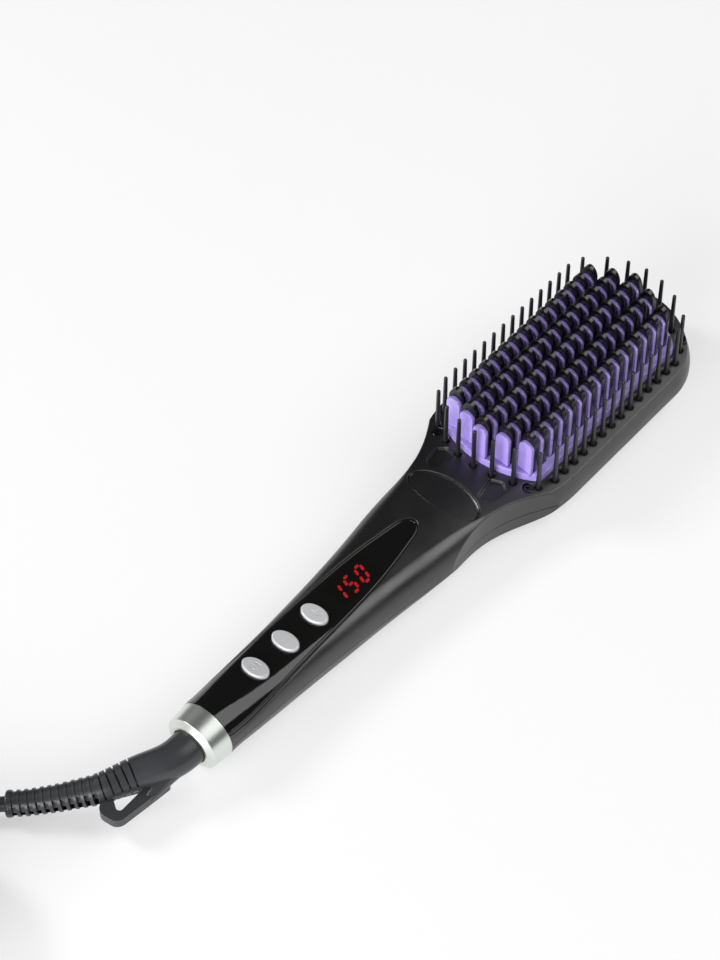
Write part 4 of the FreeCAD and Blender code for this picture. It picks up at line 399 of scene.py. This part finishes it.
@dataclass
class Border:
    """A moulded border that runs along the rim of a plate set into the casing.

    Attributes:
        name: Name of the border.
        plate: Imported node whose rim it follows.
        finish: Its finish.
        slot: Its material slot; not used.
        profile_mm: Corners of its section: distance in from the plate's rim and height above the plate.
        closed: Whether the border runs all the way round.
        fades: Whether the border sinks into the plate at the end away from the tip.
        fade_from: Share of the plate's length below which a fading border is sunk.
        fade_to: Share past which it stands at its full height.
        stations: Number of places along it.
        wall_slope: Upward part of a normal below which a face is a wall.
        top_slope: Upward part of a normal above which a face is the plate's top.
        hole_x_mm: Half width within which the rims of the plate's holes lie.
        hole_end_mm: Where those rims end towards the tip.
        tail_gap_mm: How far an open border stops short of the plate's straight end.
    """

    name: str
    plate: str
    finish: Finish
    slot: Slot
    profile_mm: Sequence[tuple[float, float]]
    closed: bool = False
    fades: bool = False
    fade_from: float = 0.2
    fade_to: float = 0.55
    stations: int = 320
    wall_slope: float = 0.2
    top_slope: float = 0.35
    hole_x_mm: float = 6.9
    hole_end_mm: float = -36.0
    tail_gap_mm: float = 0.15

    def rim_points(self) -> np.ndarray:
        """Corners where the plate's top meets its wall, in order along the rim.

        Returns:
            The points, one a row.
        """
        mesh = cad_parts[self.plate].data
        places = mesh_values(mesh.vertices, "co", 3)
        owners = mesh_values(mesh.loops, "vertex_index", 1, int)
        totals = mesh_values(mesh.polygons, "loop_total", 1, int)
        slope = np.repeat(mesh_values(mesh.polygons, "normal", 3)[:, 2], totals)
        spots, number = np.unique(np.round(places, WELD_DIGITS), axis=0, return_inverse=True)
        number = number.reshape(-1)[owners]
        rim = spots[np.intersect1d(number[np.abs(slope) < self.wall_slope], number[slope > self.top_slope])]
        if self.closed:
            middle = (rim.min(axis=0) + rim.max(axis=0)) / 2
            rim = rim[np.argsort(np.arctan2(rim[:, 1] - middle[1], rim[:, 0] - middle[0]))]
            return np.concatenate([rim, rim[:1]])
        tail = rim[:, 1].min()
        outline = (np.abs(rim[:, 0]) > self.hole_x_mm * MM) | (rim[:, 1] > self.hole_end_mm * MM)
        rim = rim[outline & (rim[:, 1] > tail + self.tail_gap_mm * MM)]
        right = rim[rim[:, 0] >= 0]
        left = rim[rim[:, 0] < 0]
        return np.concatenate([right[np.argsort(right[:, 1])], left[np.argsort(-left[:, 1])]])

    def lift_rows(self, border: bpy.types.Object, heights: np.ndarray, along: np.ndarray) -> None:
        """Drop the border onto the plate, then lift each row of it by its own height.

        A shrinkwrap straight up or down finds the plate's top. Where a border fades, its height falls
        from all of it at the end towards the tip to none at the other, and its foot stays in the plate.

        Args:
            border: The border, level with the rim.
            heights: Height of each row above the plate.
            along: Place of each station along Y.
        """
        drop = border.modifiers.new("drop", "SHRINKWRAP")
        drop.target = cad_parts[self.plate]
        drop.wrap_method = "PROJECT"
        drop.use_project_z = True
        drop.use_negative_direction = True
        drop.use_positive_direction = True
        dropped = border.evaluated_get(bpy.context.evaluated_depsgraph_get()).data
        places = mesh_values(dropped.vertices, "co", 3)
        border.modifiers.remove(drop)
        share = np.ones(len(along))
        if self.fades:
            reach = (along - along.min()) / (along.max() - along.min())
            share = np.clip((reach - self.fade_from) / (self.fade_to - self.fade_from), 0.0, 1.0)
        low = heights.min()
        lift = low + share[:, None] * (heights - low)[None, :]
        places[:, 2] += lift.reshape(-1)
        border.data.vertices.foreach_set("co", places.reshape(-1))
        border.data.update()

    def build(self) -> bpy.types.Object:
        """Sweep the section along the rim.

        The stations are spaced evenly along the rim. Each one looks inwards, at a right angle to the rim in
        plan, and the section is laid out that way, level with the rim.

        Returns:
            The border.
        """
        rim = self.rim_points()
        reach = np.concatenate([[0.0], np.cumsum(np.linalg.norm(np.diff(rim, axis=0), axis=1))])
        even = np.linspace(0.0, reach[-1], self.stations, endpoint=not self.closed)
        line = np.stack([np.interp(even, reach, rim[:, axis]) for axis in range(3)], 1)
        if self.closed:
            way = np.roll(line, -1, axis=0)[:, :2] - np.roll(line, 1, axis=0)[:, :2]
        else:
            way = np.gradient(line[:, :2], axis=0)
        way /= np.linalg.norm(way, axis=1, keepdims=True)
        inwards = np.stack([-way[:, 1], way[:, 0]], 1)
        section = np.array(self.profile_mm) * MM
        plan = line[:, None, :2] + inwards[:, None, :] * section[None, :, 0, None]
        height = np.broadcast_to(line[:, None, 2], plan.shape[:2])
        points = np.concatenate([plan, height[..., None]], 2).reshape(-1, 3)
        border = ring_mesh(self.name, points, self.stations, len(section), self.closed)
        self.lift_rows(border, section[:, 1], line[:, 1])
        self.finish.dress(border)
        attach(border, Body.BRUSH.value)
        LOG.info("%s of %d stations", self.name, self.stations)
        return border


BORDERS = (
    Border("panel_border", "control_panel", PANEL, Slot.PANEL, (
        (0.05, -0.3), (0.05, 0.02), (0.1, 0.09), (0.2, 0.16), (0.34, 0.21), (0.5, 0.22), (0.66, 0.18),
        (0.82, 0.1), (0.98, -0.01), (0.98, -0.3))),
    Border("neck_plate_border", "neck_plate", RIM, Slot.CASING, (
        (0.0, -0.3), (0.0, 0.4), (0.06, 0.44), (0.2, 0.37), (0.36, 0.27), (0.52, 0.17), (0.68, 0.07),
        (0.8, 0.01), (0.92, -0.02), (0.92, -0.3)), closed=True, fades=True, stations=160),
)


def ring_mesh(name: str, points: np.ndarray, rings: int, around: int, closed: bool) -> bpy.types.Object:
    """Make a closed tube of quads from rings of points, with a cap at each end unless it closes on itself.

    Args:
        name: Name of the object.
        points: The points, ring after ring.
        rings: Number of rings.
        around: Points in a ring.
        closed: Whether the last ring joins the first.

    Returns:
        The object.
    """
    ring = np.arange(rings if closed else rings - 1)[:, None]
    step = np.arange(around)[None, :]
    onward = (ring + 1) % rings
    beside = (step + 1) % around
    quads = np.stack([ring * around + step, ring * around + beside, onward * around + beside,
                      onward * around + step], 2).reshape(-1, 4)
    faces = quads.tolist()
    if not closed:
        faces.append(list(range(around))[::-1])
        faces.append(list(range((rings - 1) * around, rings * around)))
    mesh = bpy.data.meshes.new(name)
    mesh.from_pydata(points.tolist(), [], faces)
    mesh.polygons.foreach_set("use_smooth", np.ones(len(faces), dtype=bool))
    piece = add_object(name, mesh)
    shell = bmesh.new()
    shell.from_mesh(mesh)
    bmesh.ops.recalc_face_normals(shell, faces=shell.faces)
    shell.to_mesh(mesh)
    shell.free()
    return piece


# ---------------------------------------------------------------- mains lead

@dataclass
class MainsLead:
    """The round mains lead: a loose run from the strain relief, a neat coil and the run to the plug.

    Attributes:
        diameter: Outer diameter of the lead.
        run_out: Route from inside the strain relief to the coil.
        run_in: Route from the coil's top turn into the plug's neck.
        middle: Middle of the coil on the floor.
        turn_radii: Radii of the outer and the inner turns.
        layers: Number of layers.
        lead_in_deg: Turn before the start by which the first move is over.
        move_deg: Turn over which the lead moves to its next place in the coil.
        creep_deg: Turn by which each move starts earlier than the one before.
        step_deg: Turn between two points of the coil.
        exit_deg: Direction from the coil's middle in which the lead leaves its top turn.
        bend_steps: Resolution of the curve between two of its points.
        round_steps: Bevel resolution of its round section.
    """

    diameter: float = 0.0057
    run_out: Sequence[Point] = ((-0.032377, -0.192726, 0.008296), (-0.05292, -0.208708, 0.006355),
                                (-0.0642, -0.2296, 0.0034), (-0.0703, -0.2476, 0.0029))
    run_in: Sequence[Point] = ((-0.071985, -0.281823, 0.020863), (-0.061985, -0.299143, 0.011287),
                               (-0.044665, -0.309143, 0.0065), (-0.024665, -0.309143, 0.0065))
    middle: tuple[float, float] = (-0.040135, -0.257823)
    turn_radii: tuple[float, float] = (0.03185, 0.02615)
    layers: int = 5
    lead_in_deg: float = 40.0
    move_deg: float = 95.0
    creep_deg: float = 41.0
    step_deg: float = 20.0
    exit_deg: float = 180.0
    bend_steps: int = 5
    round_steps: int = 5

    def plan_turns(self) -> list[tuple[float, float, float]]:
        """List the stations of the coil, from the floor to its top turn.

        The lead moves to the other turn's radius, not quite a turn later it climbs to the next layer, and
        so on. Each move starts a little earlier than the one under or beside it, and while one strand
        moves aside the other has begun to rise, so that they stay a diameter apart.

        Returns:
            The stations, each an angle, a radius and a height.
        """
        end_x, end_y, _ = self.run_out[-1]
        start = math.degrees(math.atan2(end_y - self.middle[1], end_x - self.middle[0]))
        radius, other = self.turn_radii
        height = self.diameter / 2
        stations = [(start, radius, height)]
        for move in range(2 * self.layers - 1):
            begin = start + 360.0 - self.lead_in_deg - self.move_deg + move * (360.0 - self.creep_deg)
            stations.append((begin, radius, height))
            if move % 2:
                height += self.diameter
            else:
                radius, other = other, radius
            stations.append((begin + self.move_deg, radius, height))
        last = stations[-1][0]
        stations.append((last + (self.exit_deg - last) % 360.0, radius, height))
        return stations

    def coil_points(self) -> list[Point]:
        """Points of the coil: radius and height run evenly between the stations as the angle grows.

        The points stand a little outside the turns, because the curve cuts inside its corners.

        Returns:
            The points in order.
        """
        angles, radii, heights = np.array(self.plan_turns()).T
        steps = max(2, round((angles[-1] - angles[0]) / self.step_deg))
        turn = np.linspace(angles[0], angles[-1], steps + 1)
        radius = np.interp(turn, angles, radii) / math.cos(math.radians(self.step_deg / 2)) ** 0.5
        height = np.interp(turn, angles, heights)
        x = self.middle[0] + radius * np.cos(np.radians(turn))
        y = self.middle[1] + radius * np.sin(np.radians(turn))
        return list(zip(x.tolist(), y.tolist(), height.tolist()))

    def build(self) -> bpy.types.Object:
        """Returns:
            The lead's curve object.
        """
        points = [*self.run_out, *self.coil_points()[1:], *self.run_in]
        curve = bpy.data.curves.new("mains_lead", "CURVE")
        curve.dimensions = "3D"
        curve.bevel_depth = self.diameter / 2
        curve.bevel_resolution = self.round_steps
        curve.resolution_u = self.bend_steps
        curve.use_fill_caps = True
        spline = curve.splines.new("NURBS")
        spline.points.add(len(points) - 1)
        spline.points.foreach_set("co", [c for point in points for c in (*point, 1.0)])
        spline.order_u = 3
        spline.use_endpoint_u = True
        lead = add_object("mains_lead", curve)
        RUBBER.dress(lead)
        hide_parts("cord", "cord_coil")
        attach(lead, Body.LEAD.value)
        LOG.info("mains lead of %d points", len(points))
        return lead


# ---------------------------------------------------------------- studio

def back_vector(azimuth: float, elevation: float) -> Vector:
    """Unit vector from the object towards a viewer at these angles.

    Args:
        azimuth: Turn about +Z from the -Y side, towards +X.
        elevation: Angle above the floor.

    Returns:
        The vector.
    """
    turn, lift = math.radians(azimuth), math.radians(elevation)
    return Vector((math.sin(turn) * math.cos(lift), -math.cos(turn) * math.cos(lift), math.sin(lift)))


@dataclass
class Softbox:
    """A rectangular lamp that faces a point.

    Attributes:
        name: Name of the lamp.
        azimuth: Turn of the lamp about +Z from the -Y side, towards +X.
        elevation: Its height above the floor as an angle.
        distance: How far it stands from the point it faces.
        length: Its length.
        width: Its width.
        power: Its power in watts.
        along: The way its length runs, as near as it can.
    """

    name: str
    azimuth: float
    elevation: float
    distance: float
    length: float
    width: float
    power: float
    along: Point = (1.0, 0.0, 0.0)

    def build(self, target: Vector) -> None:
        """Put the lamp in the scene.

        Args:
            target: The point it faces.
        """
        lamp = bpy.data.lights.new(self.name, "AREA")
        lamp.shape = "RECTANGLE"
        lamp.size = self.length
        lamp.size_y = self.width
        lamp.energy = self.power
        back = back_vector(self.azimuth, self.elevation)
        across = back.cross(Vector(self.along)).normalized()
        turn = Matrix((across.cross(back), across, back)).transposed()
        piece = add_object(self.name, lamp)
        piece.matrix_world = Matrix.Translation(target + back * self.distance) @ turn.to_4x4()


@dataclass
class Studio:
    """Camera, floor, world and lamps.

    Attributes:
        azimuth: Turn of the camera about +Z from the -Y side, towards +X.
        elevation: Its height above the floor as an angle.
        distance: How far it stands from the point it faces.
        target: The point it faces.
        lens_mm: Its focal length.
        sensor_mm: Width of its sensor.
        nearest: Distance from which on it sees things.
        ambient: Strength of the light from all around.
        ambient_colour: Colour of that light.
        floor_reach: How far the floor goes from the middle, each way.
        floor_grey: Brightness of the floor's surface.
        floor_roughness: Roughness of that surface.
        white_share: Share of plain white in the floor as it is seen.
        softboxes: The lamps.
    """

    azimuth: float = 39.715
    elevation: float = 50.216
    distance: float = 1.1027
    target: Point = (-0.03019, -0.00926, 0.019)
    lens_mm: float = 144.64
    sensor_mm: float = 36.0
    nearest: float = 0.01
    ambient: float = 0.06
    ambient_colour: Colour = (0.93, 1.0, 0.95)
    floor_reach: float = 6.0
    floor_grey: float = 0.95
    floor_roughness: float = 0.6
    white_share: float = 0.55
    softboxes: Sequence[Softbox] = (
        Softbox("strip softbox", 139.0, 43.0, 1.6, 1.4, 1.3, 16.5, (0.0, 1.0, 0.0)),
        Softbox("front softbox", 8.0, 16.0, 1.5, 1.3, 0.75, 28.0),
        Softbox("left softbox", -62.0, 40.0, 1.5, 0.45, 0.35, 10.0),
    )

    def add_camera(self) -> None:
        """Add the camera at the viewing angle."""
        camera = bpy.data.cameras.new("camera")
        camera.sensor_fit = "HORIZONTAL"
        camera.sensor_width = self.sensor_mm
        camera.lens = self.lens_mm
        camera.clip_start = self.nearest
        back = back_vector(self.azimuth, self.elevation)
        piece = add_object("camera", camera)
        piece.location = Vector(self.target) + back * self.distance
        piece.rotation_euler = back.to_track_quat("Z", "Y").to_euler()
        bpy.context.scene.camera = piece

    def white_where_seen(self, tree: bpy.types.NodeTree, shaded: bpy.types.NodeSocket,
                         white: bpy.types.NodeSocket) -> bpy.types.NodeSocket:
        """Mix white light into a surface where the camera, gloss or glass sees it.

        Args:
            tree: Node tree to add to.
            shaded: The surface as the lamps light it.
            white: The plain white light.

        Returns:
            The mixed shader's socket.
        """
        rays = tree.nodes.new("ShaderNodeLightPath").outputs
        seen = add_math(tree, Arithmetic.LARGER, rays["Is Camera Ray"], rays["Is Glossy Ray"])
        seen = add_math(tree, Arithmetic.LARGER, seen, rays["Is Transmission Ray"])
        mix = tree.nodes.new("ShaderNodeMixShader")
        tree.links.new(add_math(tree, Arithmetic.TIMES, seen, self.white_share), mix.inputs[0])
        tree.links.new(shaded, mix.inputs[1])
        tree.links.new(white, mix.inputs[2])
        return mix.outputs[0]

    def add_floor(self) -> None:
        """Add the white floor that keeps the brush's shadow."""
        mesh = bpy.data.meshes.new("floor")
        reach = self.floor_reach
        mesh.from_pydata([(-reach, -reach, 0), (reach, -reach, 0), (reach, reach, 0), (-reach, reach, 0)], [],
                         [(0, 1, 2, 3)])
        floor = add_object("floor", mesh)
        material = bpy.data.materials.new("white floor")
        material.use_nodes = True
        tree = material.node_tree
        shader = tree.nodes["Principled BSDF"]
        shader.inputs["Base Color"].default_value = (self.floor_grey, self.floor_grey, self.floor_grey, 1.0)
        shader.inputs["Roughness"].default_value = self.floor_roughness
        light = tree.nodes.new("ShaderNodeEmission")
        light.inputs["Color"].default_value = (1.0, 1.0, 1.0, 1.0)
        mixed = self.white_where_seen(tree, shader.outputs[0], light.outputs[0])
        tree.links.new(mixed, tree.nodes["Material Output"].inputs["Surface"])
        mesh.materials.append(material)

    def add_world(self) -> None:
        """Add the plain light from all around."""
        world = bpy.data.worlds.new("studio")
        bpy.context.scene.world = world
        world.use_nodes = True
        soft = world.node_tree.nodes["Background"]
        soft.inputs["Color"].default_value = (*self.ambient_colour, 1.0)
        soft.inputs["Strength"].default_value = self.ambient

    def build(self) -> None:
        """Add everything that isn't the brush."""
        bpy.context.scene.view_settings.view_transform = "Standard"
        self.add_camera()
        self.add_floor()
        self.add_world()
        for softbox in self.softboxes:
            softbox.build(Vector(self.target))


def main() -> None:
    """Build the studio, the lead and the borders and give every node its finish."""
    logging.basicConfig(level=logging.INFO, format="%(name)s: %(message)s")
    Studio().build()
    MainsLead().build()
    for border in BORDERS:
        border.build()
    dress_nodes()


if __name__ == "__main__":
    main()
